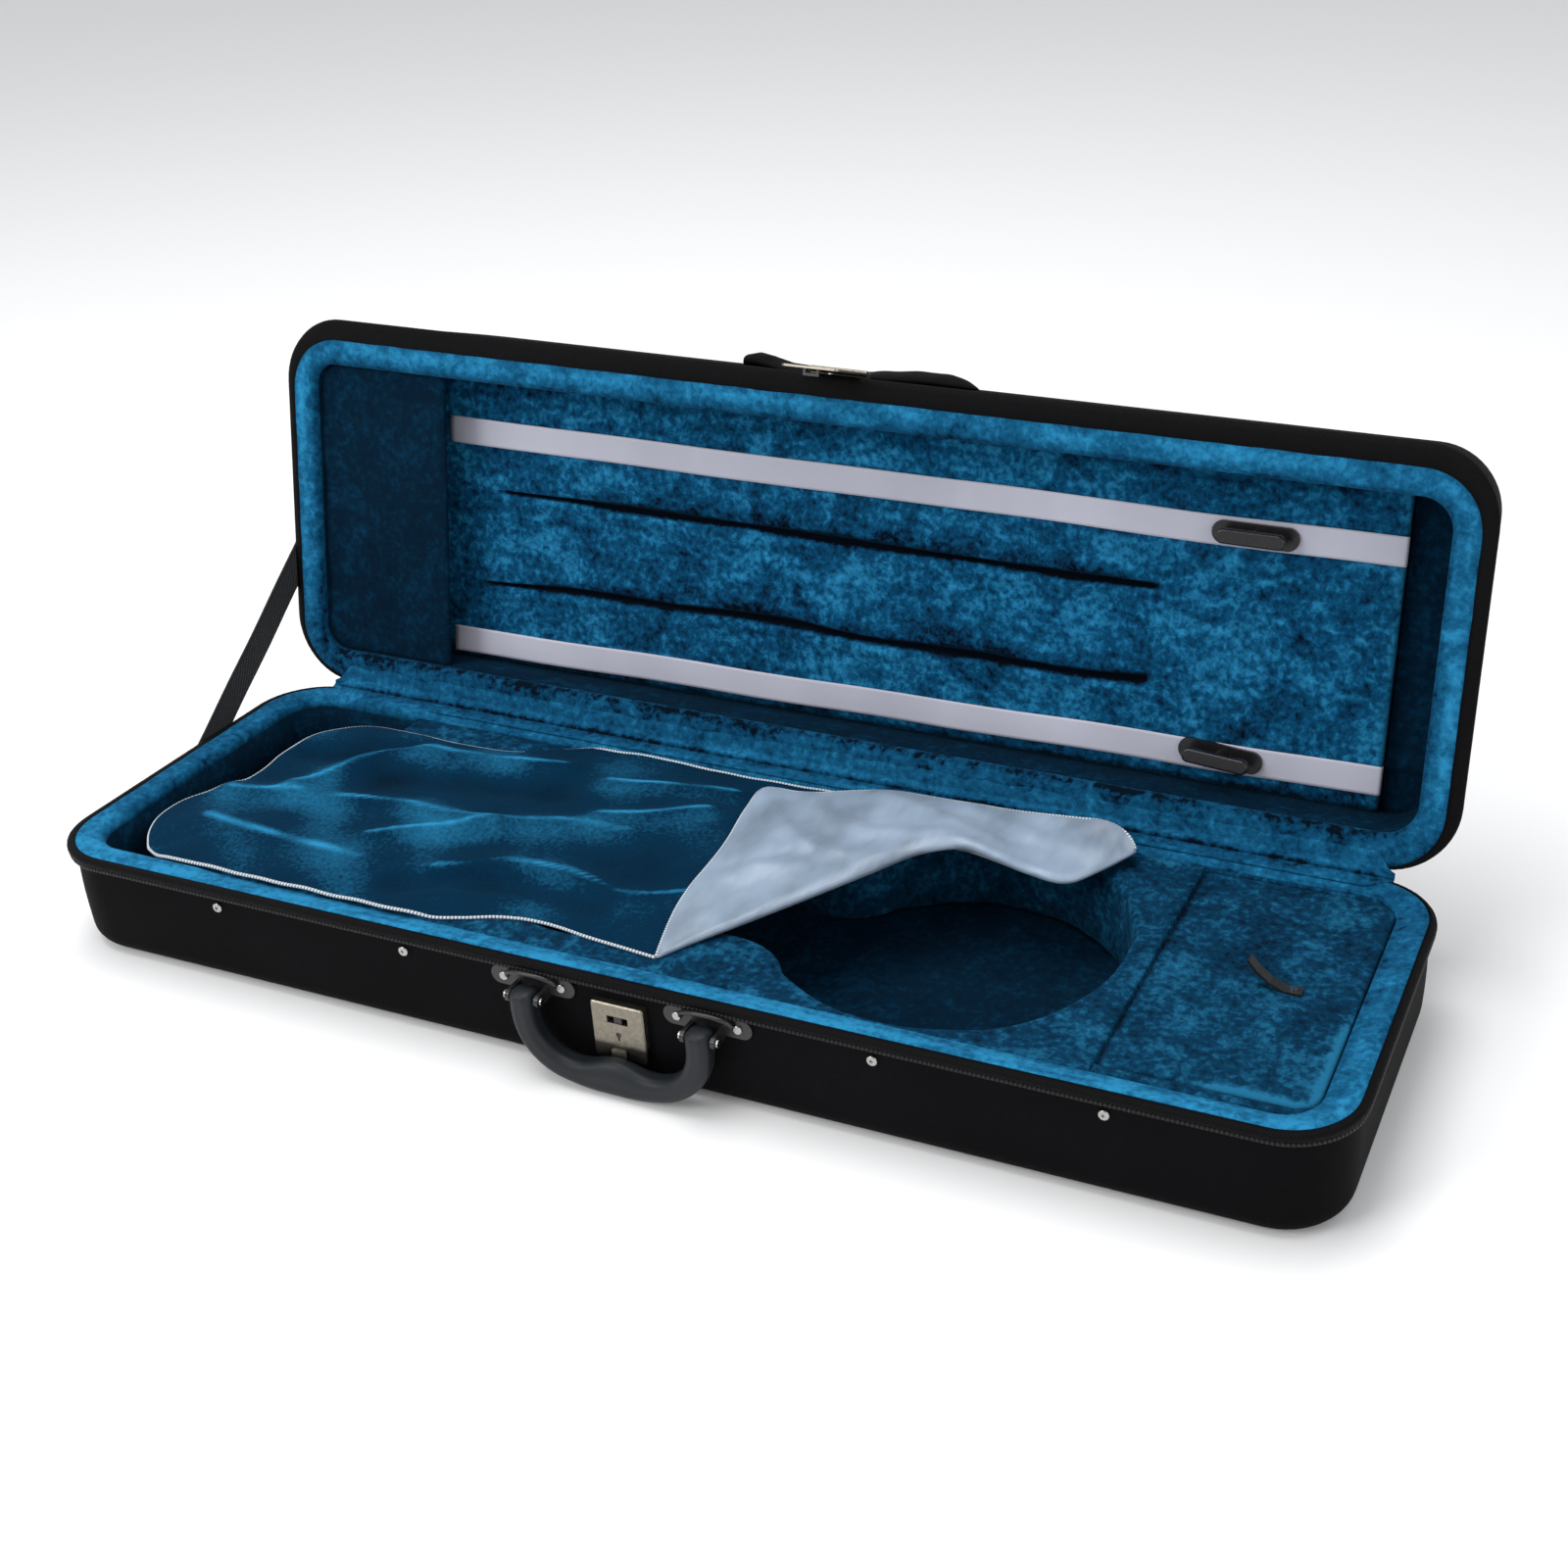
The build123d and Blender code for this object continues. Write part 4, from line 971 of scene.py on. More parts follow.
class CASE_OT_base_plush(bpy.types.Operator):
    """Build the base's rim band, well lining, violin bed, neck cradle and accessory box"""

    bl_idname = "case.base_plush"
    bl_label = "Base plush"

    def execute(self, context):
        dress(base_rim(), finish("rim"), "base", "plush", "base_rim_lining")
        lining = stack([(spine(outline(WELL, -0.2)), LINING_FLOOR), (outline(WELL, -0.2), LINING_FLOOR),
                        (outline(WELL, -0.2), 62.5),
                        (outline(WELL, -1.3), 62.5), (outline(WELL, -1.5), 40.0), (outline(WELL, -1.4), 11.0),
                        (outline(WELL, -3.0), 8.4), (outline(WELL, -6.0), 7.4),
                        (spine(outline(WELL, -6.0)), 7.4)])
        dress(grid_piece("base_well_lining", lining), finish("deep_painted_shade"), "base", "plush")
        dress(bed_pad(), finish("bed"), "base", "plush", "bed_front_pad", "bed_back_pad")
        dress(bed_floor(), finish("deep_painted_shade"), "base", "plush", "bed_floor_pad")
        well = flat_pad("scroll_well_plush", (-384.6, -292.0), (-105, 105), 12.0, 7.8, 0.5, 21)
        dress(well, finish("deep_painted_shade"), "base", "plush", "scroll_well_pad")
        dress(neck_saddle(), finish("deep_painted_shade"), "base", "plush", "neck_cradle")
        mouth, hollow, outer = outline(BOX_MOUTH), outline(BOX_HOLLOW), outline(BOX_OUTER, -0.1)
        box = stack([(spine(outer), BOX_FOOT), (outer, BOX_FOOT), (outer, 63.0),
                     (outer + (mouth - outer) * 0.12, 65.2), (outer + (mouth - outer) * 0.35, 66.1),
                     (outer + (mouth - outer) * 0.65, 66.1), (outer + (mouth - outer) * 0.9, 65.5),
                     (mouth, 64.4), (mouth, 60.4),
                     (hollow, 60.2), (hollow, 9.5), (outline(BOX_HOLLOW, -1.2), 8.0),
                     (spine(outline(BOX_HOLLOW, -1.2)), 8.0)])
        box[..., 2] = np.where(box[..., 0] < 266.0, np.minimum(box[..., 2], 63.5), box[..., 2])
        dress(grid_piece("accessory_box_plush", box), finish("bed"), "base", "plush", "accessory_box")
        return {"FINISHED"}


class CASE_OT_accessory_lid(bpy.types.Operator):
    """Build the accessory box's padded lid"""

    bl_idname = "case.accessory_lid"
    bl_label = "Accessory lid"

    def execute(self, context):
        levels = [(0.0, BOX_SEAT), (0.0, 62.8), (-0.25, 64.2), (-0.9, 65.3), (-2.0, 65.9), (-4.0, 66.25)]
        rows = [(spine(outline(BOX_LID)), BOX_SEAT)] + [(outline(BOX_LID, grow), z) for grow, z in levels]
        rows += [(outline(BOX_LID, grow), BOX_TOP) for grow in (-7.0, -12.0, -18.0, -25.0, -33.0, -42.0,
                                                                -50.0)]
        rows.append((spine(outline(BOX_LID, -50.0)), BOX_TOP))
        grid = stack(rows)
        soft = smooth_step(grid[..., 2], 65.0, BOX_TOP)
        grid[..., 2] += soft * 0.45 * ripple(grid[..., 0], grid[..., 1], 30.0, 31)
        grid[..., 2] -= soft * 0.9 * bell(grid[..., 0], 272.0, 2.5)
        x, y = grid[..., 0], grid[..., 1]
        # Painted light: gleam paints highlights on the rolled right and front edges and lightens the lid
        # towards the front; shade paints a dark line along its hinge edge.
        rolled = (bell(x, 382.0, 4.5) * smooth_step(-y, 5.0, 40.0)
                  + bell(y, -97.0, 4.5) * smooth_step(x, 300.0, 350.0))
        gleam = 0.9 * rolled * smooth_step(grid[..., 2], 63.0, 65.5) + 0.08 * smooth_step(-y, -60.0,
                                                                                          90.0) - 0.03
        shade = 0.5 * bell(x, 266.3, 2.0)
        lid = dress(grid_piece("accessory_lid_plush", grid, gleam=gleam, shade=shade), finish("bed"),
                    "accessory_lid", "plush",
                    "accessory_lid")
        return {"FINISHED"}


class CASE_OT_hinge_strip(bpy.types.Operator):
    """Build the plush strip that joins the two rims over the hinges"""

    bl_idname = "case.hinge_strip"
    bl_label = "Hinge strip"

    def execute(self, context):
        strip = dress(hinge_strip(), finish("rim"), None, "plush")
        solid = strip.modifiers.new("Thickness", "SOLIDIFY")
        solid.thickness = 0.0006
        solid.offset = 0.0
        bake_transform(strip)
        return {"FINISHED"}


# ---------------------------------------------------------------- lid

def lid_pad():
    """The lid's padding: its face falls off by exp(-distance / 3) at the walls, with pressed-in creases."""
    depth = bpy.context.scene.case_sizes.crease_depth / MM
    wave = bpy.context.scene.case_sizes.pile_ripple / MM
    xs, ys = np.meshgrid(np.concatenate([np.linspace(-382, 348, 240), np.linspace(349, PAD_END, 6)]),
                         np.linspace(-102.7, 102.7, 190))
    wall = np.minimum(ys + 102.7, 102.7 - ys)
    relief = wave * ripple(xs, ys, 55.0, 41) + 0.35 * wave * ripple(xs, ys, 17.0, 42)
    relief -= 6.0 * np.exp(-wall / 3.0) + 3.5 * np.exp(-(PAD_END - xs) / 1.6)
    sway = 1.1 * np.sin(xs / 60.0) + 0.7 * np.sin(xs / 23.0 + 1.0)
    # Painted shade: the shade attribute darkens the face near the long walls, in the two creases and beside
    # them, and along the sewn seam.
    shade = 0.5 * np.exp(-wall / 5.0)
    for line, lean, start, end, seed, fat in ((-18.0, 0.004, -264, 204, 3, 1.5),
                                              (43.0, -0.004, -276, 203, 4, 2.1)):
        off = ys - (line + lean * xs + sway * (0.25 if seed == 3 else 1.3))
        along = smooth_step(xs, start, start + 130)
        width = 0.9 + fat * along * (0.8 + 0.45 * ripple(xs, 0 * xs, 120.0, seed))
        window = smooth_step(xs, start - 4, start + 10) * (1 - smooth_step(xs, end - 3, end + 3))
        cut = np.exp(-np.abs(off / width) ** 3)
        relief -= window * (depth * cut - 1.5 * bell(np.abs(off), 7.0, 4.0))
        # Painted shade in the crease and in a band beside it.
        shade = shade + window * (1.0 * cut + 0.22 * along * bell(off, -5.0, 7.0))
    inside = smooth_step(ys, -21, -13) * (1 - smooth_step(ys, 37, 45))
    inside = inside * smooth_step(xs, -270, -240) * (1 - smooth_step(xs, 198, 206))
    relief -= inside * (1.6 - 1.1 * ripple(xs, ys, 60.0, 47))
    sewn = bell(xs, 205.0, 1.6) * smooth_step(ys, -29, -21) * (1 - smooth_step(ys, 47, 53))
    relief -= 0.9 * sewn
    shade = shade + 0.05 * sewn
    # Painted highlight along the pad's end edge, with faint streaks that lighten and darken it.
    gleam = 0.35 * np.exp(-(PAD_END - xs) / 2.5) + 0.06 * ripple(xs * 0.25, ys, 9.0, 48)
    face = flat_sheet(xs, ys, PAD_FACE - relief)
    back = flat_sheet(xs, ys, LID_CEILING - 0.1)
    return pad_piece("lid_padding", opened(face[:, ::-1]), opened(back[:, ::-1]), shade=shade[:, ::-1],
                     gleam=gleam[:, ::-1])


def corner_left(ys, shape, margin):
    """The x of an outline's left side at each y, following its two rounded corners."""
    (x0, _), (y0, y1), radii = shape
    r = radii[0]
    over = np.maximum(np.maximum((y0 + r) - ys, ys - (y1 - r)), 0)
    return x0 + margin + r - np.sqrt(np.maximum(r * r - over ** 2, 0))


class CASE_OT_lid_cover(bpy.types.Operator):
    """Build the lid's outer cover, binding and cord"""

    bl_idname = "case.lid_cover"
    bl_label = "Lid cover"

    def execute(self, context):
        rows = tray_wall(SHELL, LID_WELL, LID_CEILING + 0.3, LID_WALL, LID_TOP, EDGE_RADIUS, 1.0)
        rounder = tray_wall(SHELL, LID_WELL, LID_CEILING + 0.3, LID_WALL, LID_TOP, SUNK_EDGE_RADIUS, 1.0)
        corner = (smooth_step(-rows[..., :1], 260.0, 370.0) * smooth_step(-rows[..., 1:2], 40.0, 95.0))
        rows = rows + (rounder - rows) * corner
        dress(grid_piece("lid_cover", opened(rows)), finish("nylon"), "lid", "cover_nylon", "lid_shell")
        dress(rim_binding("lid_binding", LID_PLUSH, True), finish("binding"), "lid", "welting", "lid_welting")
        dress(rim_cord("lid_rim_cord", True), finish("cord"), "lid", "welting")
        return {"FINISHED"}


class CASE_OT_lid_plush(bpy.types.Operator):
    """Build the lid's rim band, wall lining, padding, end lining and bow-tip pocket"""

    bl_idname = "case.lid_plush"
    bl_label = "Lid plush"

    def execute(self, context):
        dress(lid_rim(), finish("rim"), "lid", "plush", "lid_rim_lining")
        walls = stack([(outline(LID_WELL, grow), z) for grow, z in
                       ((-0.2, 78.2), (-0.2, 120.6), (-0.8, 120.6), (-0.9, 100.0), (-0.8, 78.2))])
        dress(grid_piece("lid_wall_lining", opened(walls), loop=True), finish("deep_painted_shade"), "lid", "plush")
        dress(lid_pad(), finish("plush"), "lid", "plush", "lid_pad")

        xs, ys = np.meshgrid(np.linspace(PAD_END + 0.6, 381.0, 16), np.linspace(-102.5, 102.5, 80))
        face = np.stack([xs, ys, 118.8 - 0.5 * ripple(xs, ys, 30.0, 51) - 1.6 * bell(ys, 74.0, 1.6)], -1)
        back = flat_sheet(xs, ys, 120.7)
        end = pad_piece("lid_end_plush", opened(face[:, ::-1]), opened(back[:, ::-1]))
        dress(end, finish("deep_painted_shade"), "lid", "plush", "lid_end_lining")

        share, ys = np.meshgrid(np.concatenate([np.linspace(0, 0.94, 26), [0.965, 0.98, 0.99, 0.996, 1.0]]),
                                np.linspace(-102.6, 102.6, 70))
        left = corner_left(ys, LID_WELL, 0.6)
        xs = left + (POCKET_END - left) * share
        bow = 1.2 * np.sin(np.pi * np.clip((ys + 103) / 206, 0, 1)) * np.sin(np.pi * share)
        round_off = 2.0 * (1 - np.sqrt(np.clip(1 - ((share - 0.965) / 0.035).clip(0, 1) ** 2, 0, 1)))
        soft = 0.5 * ripple(xs, ys, 45.0, 61)
        face = np.stack([xs, ys, POCKET_FACE - bow + round_off + soft], -1)
        back = np.stack([xs, ys, POCKET_BACK - round_off + 0 * soft], -1)
        pocket = pad_piece("bow_pocket_plush", opened(face[:, ::-1]), opened(back[:, ::-1]))
        dress(pocket, finish("deep_painted_shade"), "lid", "plush", "bow_tip_pocket")
        return {"FINISHED"}


class CASE_OT_ribbons(bpy.types.Operator):
    """Build the two satin ribbons that run behind the bows"""

    bl_idname = "case.ribbons"
    bl_label = "Bow ribbons"

    def execute(self, context):
        for label, middle, slope, seed in (("upper", -58.0, 0.0, 71), ("lower", 85.2, -0.7, 72)):
            run = np.concatenate([np.linspace(-300, 351.4, 150), [352.6, 353.2, 353.4, 353.4]])
            drop = np.concatenate([np.zeros(150), [0.3, 1.2, 3.0, 9.0]])
            xs, across = np.meshgrid(run, np.linspace(-9.0, 9.0, 11))
            slant = math.tan(math.radians(slope)) * (xs - 26.0)
            ys = middle + across + slant + 0.5 * ripple(xs, 0 * xs, 150.0, seed)
            height = 105.3 + drop - 0.25 * ripple(xs, across * 2, 60.0, seed + 5) + 0.02 * np.abs(across)
            face = flat_sheet(xs, ys, height)
            back = face + [0, 0, 0.5]
            strip = pad_piece(f"ribbon_{label}", opened(face[:, ::-1]), opened(back[:, ::-1]))
            dress(strip, finish("ribbon"), "lid", "ribbon_satin", f"bow_ribbon_{label}")
        return {"FINISHED"}


# ---------------------------------------------------------------- blanket

BLANKET_FRONT = ((-344, -99), (-330, -105), (-300, -106), (-195, -106.5), (-140, -105), (-118, -98),
                 (-100, -90), (-72, -86), (-40, -90),
                 (-11, -93), (8, -95))
BLANKET_BACK = ((-305, 83), (-280, 83), (-247, 81), (-215, 81), (-190, 88), (-161, 103), (-130, 106),
                (-96, 106), (-41, 105), (30, 105.5),
                (120, 105.5), (190, 104), (226, 92))
BLANKET_LEFT = ((-344, -99), (-354, -86), (-360, -70), (-360, -52), (-350, -34), (-340, -20), (-337, 0),
                (-338, 20), (-336, 42),
                (-328, 62), (-318, 74), (-305, 83))
FOLD_LINE = ((8, -95, 67.6), (16, -81, 68), (36, -54, 70), (61, -21, 73), (87, 12, 77), (113, 42, 81),
             (136, 47, 85), (156, 48, 80),
             (174, 52, 73), (194, 55, 69.5), (211, 73, 71.5), (226, 92, 76))
FLAP_EDGE = ((8, -95, 68.4), (-2, -52, 72), (-6, 14, 75), (-14, 60, 75), (-15, 82, 75), (12, 86, 74),
             (34, 97, 74), (61, 103.5, 76),
             (97, 104.5, 77), (141, 105, 78), (186, 105, 82), (206, 104, 84), (219, 101, 80), (226, 92, 77))
RIDGES = (
    (((-338, -28), (-291, -19), (-244, -12), (-200, -10), (-150, -16)), 5.0, 9.0),
    (((-300, -12), (-286, 15), (-273, 45), (-250, 58), (-215, 56), (-150, 66)), 5.5, 10.0),
    (((-218, -48), (-200, -34), (-171, -22), (-124, 2), (-70, 8)), 4.0, 8.0),
    (((-160, -62), (-120, -44), (-80, -40), (-38, -48), (4, -30)), 3.5, 9.0),
    (((-112, 58), (-70, 70), (-33, 77)), 4.0, 8.0),
    (((-95, 18), (-68, 30), (-36, 48)), 4.0, 8.0),
    (((-320, 30), (-290, 44), (-268, 60)), -5.0, 12.0),
    (((-176, -84), (-140, -66), (-96, -60), (-50, -66)), -5.0, 11.0),
    (((-250, 20), (-200, 28), (-140, 34)), -4.0, 14.0),
    (((-330, -60), (-270, -66), (-210, -70)), 2.5, 16.0),
)


def coons(front, back, left, right):
    """A surface across four edge curves: front to back, plus left to right, less the blend of the corners."""
    u = np.linspace(0, 1, len(front))[None, :, None]
    v = np.linspace(0, 1, len(left))[:, None, None]
    ruled_v = (1 - v) * front[None] + v * back[None]
    ruled_u = (1 - u) * left[:, None] + u * right[:, None]
    corners = ((1 - u) * (1 - v) * front[0] + u * (1 - v) * front[-1]
               + (1 - u) * v * back[0] + u * v * back[-1])
    return ruled_v + ruled_u - corners


def blanket_sheet():
    """The blanket's middle surface: the laid part, a round bend on the fold line and the corner over it."""
    rows, cols, flap = 110, 170, 70
    fold = smooth_path(FOLD_LINE, rows)
    plan = coons(smooth_path(BLANKET_FRONT, cols), smooth_path(BLANKET_BACK, cols),
                 smooth_path(BLANKET_LEFT, rows), fold[:, :2])
    x, y = plan[..., 0], plan[..., 1]
    edge = np.minimum(np.linspace(0, 1, rows)[:, None], 1 - np.linspace(0, 1, rows)[:, None]) * 2
    bulge = bpy.context.scene.case_sizes.blanket_bulge / MM
    height = BLANKET_REST + bulge * (1 - (1 - edge) ** 3) * (0.75 + 0.25 * ripple(x, y, 190.0, 81))
    height += bumps(x, y, RIDGES) * smooth_step(edge, 0.0, 0.25) + 0.5 * ripple(x, y, 38.0, 82)
    # Painted light: gleam paints thin highlights along the raised ridges, a broad painted glow just beside
    # them, and painted shade along the sunk hollows.
    lit = [(path, 0.42, 0.18 * width) for path, rise, width in RIDGES if rise > 0]
    glow = [(path, 0.10, 1.6 * width) for path, rise, width in RIDGES if rise > 0]
    sunk = [(path, 0.14, 1.0 * width) for path, rise, width in RIDGES if rise < 0]
    gleam = (bumps(x, y, lit) * (0.7 + 0.5 * ripple(x, y, 34.0, 84)) + bumps(x, y + 9.0, glow)
             - 0.05 + 0.10 * ripple(x, y, 75.0, 85))
    gleam = gleam - bumps(x, y, sunk)
    height += 2.6 * smooth_step(np.abs(y), 103.0, 107.0)
    height = np.maximum(height, BLANKET_REST)
    near = smooth_step(np.linspace(0, 1, cols)[None, :], 0.72, 1.0)
    height = height * (1 - near) + np.broadcast_to(fold[:, 2:], height.shape) * near
    laid = np.concatenate([plan, height[..., None]], -1)

    outer = smooth_path(FLAP_EDGE, rows)
    across = np.linspace(0, 1, flap)[None, :, None]
    lens = np.sin(np.pi * np.linspace(0, 1, rows))[:, None]
    corner = fold[:, None] * (1 - across) + outer[:, None] * across
    corner[..., 2] += 2.8 * lens * (1 - across[..., 0]) + 2.6 * lens ** 0.5
    t = across[..., 0]
    free = np.sin(np.pi * np.clip(t, 0, 1)) * lens
    corner[..., 2] += free * (2.2 * ripple(corner[..., 0], corner[..., 1], 62.0, 91) + 0.9
                              * ripple(corner[..., 0], corner[..., 1], 24.0, 92))
    corner[..., 2] += bumps(corner[..., 0], corner[..., 1], (
        (((-8, 74), (20, 40), (60, 20), (96, 22)), 3.0, 7.0),
        (((14, 84), (40, 60), (86, 50), (120, 52)), 3.2, 7.0),
        (((60, 98), (110, 76), (150, 62)), 2.6, 8.0), (((0, -30), (24, -8), (50, 6)), 2.2, 7.0),
        (((120, 100), (170, 84), (205, 82)), 3.0, 8.0))) * (0.25 + 0.75 * free)
    away = corner[:, 4] - corner[:, 0]
    away[:, 2] = 0
    away /= np.maximum(np.linalg.norm(away, axis=1), 1e-6)[:, None]
    bend_radius = (0.35 + 1.7 * lens[:, 0])[:, None]
    turns = np.radians(np.array([-60.0, -30.0, 0.0, 30.0, 60.0]))
    rise = np.array([0, 0, 1.0]) * bend_radius
    bend = np.stack([fold - away * bend_radius * math.cos(a) + rise * (1 + math.sin(a)) for a in turns], 1)
    grid = np.concatenate([laid[:, :-1], bend, corner[:, 3:]], 1)
    gleam = np.concatenate([gleam, np.zeros((rows, grid.shape[1] - cols))], 1)
    return grid, gleam


class CASE_OT_blanket(bpy.types.Operator):
    """Build the lined blanket with its corner folded back, and the stitching round its edge"""

    bl_idname = "case.blanket"
    bl_label = "Blanket"

    def execute(self, context):
        grid, gleam = blanket_sheet()
        piece = grid_piece("blanket_cloth", grid, wrap=False, closed=False, gleam=gleam)
        solid = piece.modifiers.new("Thickness", "SOLIDIFY")
        solid.thickness = context.scene.case_sizes.blanket_thickness
        solid.offset = 0.0
        solid.material_offset = 1
        solid.material_offset_rim = 1
        dress(piece, [finish("velvet"), finish("satin")], "base", "blanket_velvet", "blanket")
        border = np.concatenate([grid[0], grid[1:-1, -1], grid[-1, ::-1], grid[-2:0:-1, 0]])
        keep = np.concatenate([[True], np.sqrt((np.diff(border, axis=0) ** 2).sum(1)) > 0.4])
        border = border[keep]
        for _ in range(2):
            border = (np.roll(border, 1, 0) + 2 * border + np.roll(border, -1, 0)) / 4
        edging = tube_piece("blanket_edging", border, circle(1.2, 8, 0.8), closed_path=True)
        dress(edging, finish("thread"), "base", "blanket_velvet")
        for soft in (piece, edging):
            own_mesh(soft)
        width = np.sqrt((np.diff(grid, axis=0) ** 2).sum(-1)).sum(0).mean() * MM
        length = np.sqrt((np.diff(grid, axis=1) ** 2).sum(-1)).sum(1).mean() * MM
        return {"FINISHED"}


# ---------------------------------------------------------------- handle, strap, flap

def handle_path():
    """The grip's centre line, hanging: down one leg, round two wide bends and across, in x and z."""
    points = [(-55, 51), (-55, 44), (-53.5, 34), (-48, 23), (-38, 14.6), (-22, 9.9), (0, 8.6), (22, 9.9),
              (38, 14.6), (48, 23), (53.5, 34),
              (55, 44), (55, 51)]
    return smooth_path(points, 120)


def grip_grid():
    """The grip: a rounded section along the centre line, thickened inside by a cosine hump in the middle."""
    path = handle_path()
    ahead = np.gradient(path, axis=0)
    ahead /= np.linalg.norm(ahead, axis=1)[:, None]
    inward = np.stack([-ahead[:, 1], ahead[:, 0]], -1)
    radius = bpy.context.scene.case_sizes.grip_radius / MM
    middle = np.abs(path[:, 0]) / 30.0
    swell = 0.5 + 0.5 * np.cos(np.pi * np.clip(middle, 0, 1))
    hump = 7.5 * np.where((middle < 1) & (path[:, 1] < 30), swell, 0)
    angle = np.linspace(0, math.tau, 28, endpoint=False)
    side, reach = np.cos(angle), np.sin(angle)
    square = 0.86 + 0.14 * np.abs(np.sin(2 * angle))
    inner = np.where(reach > 0, 1.0, 0.0)[None, :]
    into = reach[None, :] * (radius * square[None, :] + hump[:, None] * inner)
    out = np.broadcast_to(side * radius * square * 1.02, into.shape)
    grid = np.stack([path[:, :1] + inward[:, :1] * into, PIN_Y + out, path[:, 1:] + inward[:, 1:] * into], -1)
    for end, sign in ((0, 1), (-1, -1)):
        tip = [grid[end].mean(0) + np.array([0, 0, up]) + (grid[end] - grid[end].mean(0)) * size for up,
               size in ((2.6, 0.99), (4.4, 0.9), (5.2, 0.6))]
        tip.append(np.repeat((grid[end].mean(0) + [0, 0, 5.4])[None], len(angle), 0))
        tip = np.stack(tip)
        grid = np.concatenate([tip[::-1], grid]) if end == 0 else np.concatenate([grid, tip])
    return grid


class CASE_OT_handle(bpy.types.Operator):
    """Build the rubber grip and the raised bow of each bracket"""

    bl_idname = "case.handle"
    bl_label = "Handle"

    def execute(self, context):
        dress(grid_piece("handle_rubber_grip", grip_grid()), finish("rubber"), "handle", "handle_rubber",
              "handle_grip")
        for side, label in ((-BRACKET_X, "left"), (BRACKET_X, "right")):
            turn = np.linspace(0, math.pi, 30)
            path = np.stack([side + 15.5 * np.cos(turn), -125.6 - 3.2 * np.sin(turn),
                             57.0 + 6.0 * np.sin(turn) ** 0.8], -1)
            dress(tube_piece(f"bracket_bow_{label}", path, circle(1.5, 10)), finish("bracket_black"),
                  "base", "bracket_black")
        return {"FINISHED"}


class CASE_OT_stay_strap(bpy.types.Operator):
    """Build the woven stay strap"""

    bl_idname = "case.stay_strap"
    bl_label = "Stay strap"

    def execute(self, context):
        low, high = np.array([10.0, 48.0]), np.array([165.1, 165.3])
        way = (high - low) / np.linalg.norm(high - low)
        side = np.array([-way[1], way[0]])
        share, across = np.meshgrid(np.linspace(-0.045, 1.045, 90), np.linspace(-10, 10, 9))
        place = low + (high - low) * share[..., None] + side * across[..., None]
        sag = -1.5 * np.sin(np.pi * share.clip(0, 1))
        face = np.stack([STRAP_X + 0.25 * np.sin(share * 14) * np.sin(np.pi * share.clip(0, 1)),
                         place[..., 0] - sag * side[0], place[..., 1] + sag * side[1]], -1)
        piece = pad_piece("stay_strap_webbing", face, face + [1.3, 0, 0])
        dress(piece, finish("webbing"), None, "webbing", "stay_strap")
        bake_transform(piece)
        return {"FINISHED"}


class CASE_OT_lock_flap(bpy.types.Operator):
    """Build the padded cloth flap beside the hasp"""

    bl_idname = "case.lock_flap"
    bl_label = "Lock flap"

    def execute(self, context):
        xs = np.linspace(-80, 82, 100)
        thick = np.interp(xs, [-80, -77, -70, -60, -48, -22, 2, 18, 40, 60, 74, 82],
                          [0.6, 3.2, 4.1, 3.6, 1.8, 1.4, 1.6, 2.6, 3.8, 3.8, 2.2, 0.6])
        wide = np.interp(xs, [-80, -77, -70, -46, 0, 20, 48, 66, 78, 82],
                         [0.8, 7.0, 11.0, 13.0, 14.0, 16.0, 17.5, 14.0, 6.0, 1.0])
        drift = np.interp(xs, [-72, -50, 0, 40, 70], [-2.0, -5.0, -8.0, -8.0, -4.0])
        angle = np.linspace(0, math.tau, 20, endpoint=False)
        grid = np.stack([np.broadcast_to(xs[:, None], (100, 20)),
                         -122.8 - thick[:, None] - thick[:, None] * np.sin(angle),
                         113.2 + drift[:, None] + wide[:, None] * np.cos(angle)], -1)
        grid[..., 1] += 0.3 * ripple(grid[..., 0], grid[..., 2], 16.0, 95)
        caps = [np.repeat(grid[k].mean(0)[None, None], 20, 1) for k in (0, -1)]
        grid = opened(np.concatenate([caps[0], grid, caps[1]]))
        piece = dress(grid_piece("lock_flap_cloth", grid), finish("nylon"), "lid", "cover_nylon", "lock_flap")
        return {"FINISHED"}


CAD_FINISHES = {
    "nickel": ("nickel",), "lock_metal": ("lock_metal",), "bracket_black": ("bracket_black",),
    "clip_plastic": ("clip_plastic",),
    "spring_steel": ("spring_steel",), "tab_leather": ("tab_leather",), "webbing": ("webbing",),
    "plush": ("deep_painted_shade",),
    "handle_rubber": ("rubber",),
}


NODE_FINISHES = {"lock_case": "lock_plate", "lock_bolt": "dark_steel", "hasp_leaf": "lock_plate",
                 "hasp_plate": "lock_metal", "hasp_staple": "dark_steel"}


class CASE_OT_hardware(bpy.types.Operator):
    """Give the CAD fittings that stay in sight their finishes"""

    bl_idname = "case.hardware"
    bl_label = "Fittings"

    def execute(self, context):
        slots = {entry["node"]: entry["material_slot"] for entry in frame["record"]["subparts"]}
        for name, obj in frame["nodes"].items():
            if obj.hide_render:
                continue
            material = finish(NODE_FINISHES.get(name) or CAD_FINISHES[slots[name]][0])
            obj.data.materials.clear()
            obj.data.materials.append(material)
        return {"FINISHED"}


# ---------------------------------------------------------------- stage

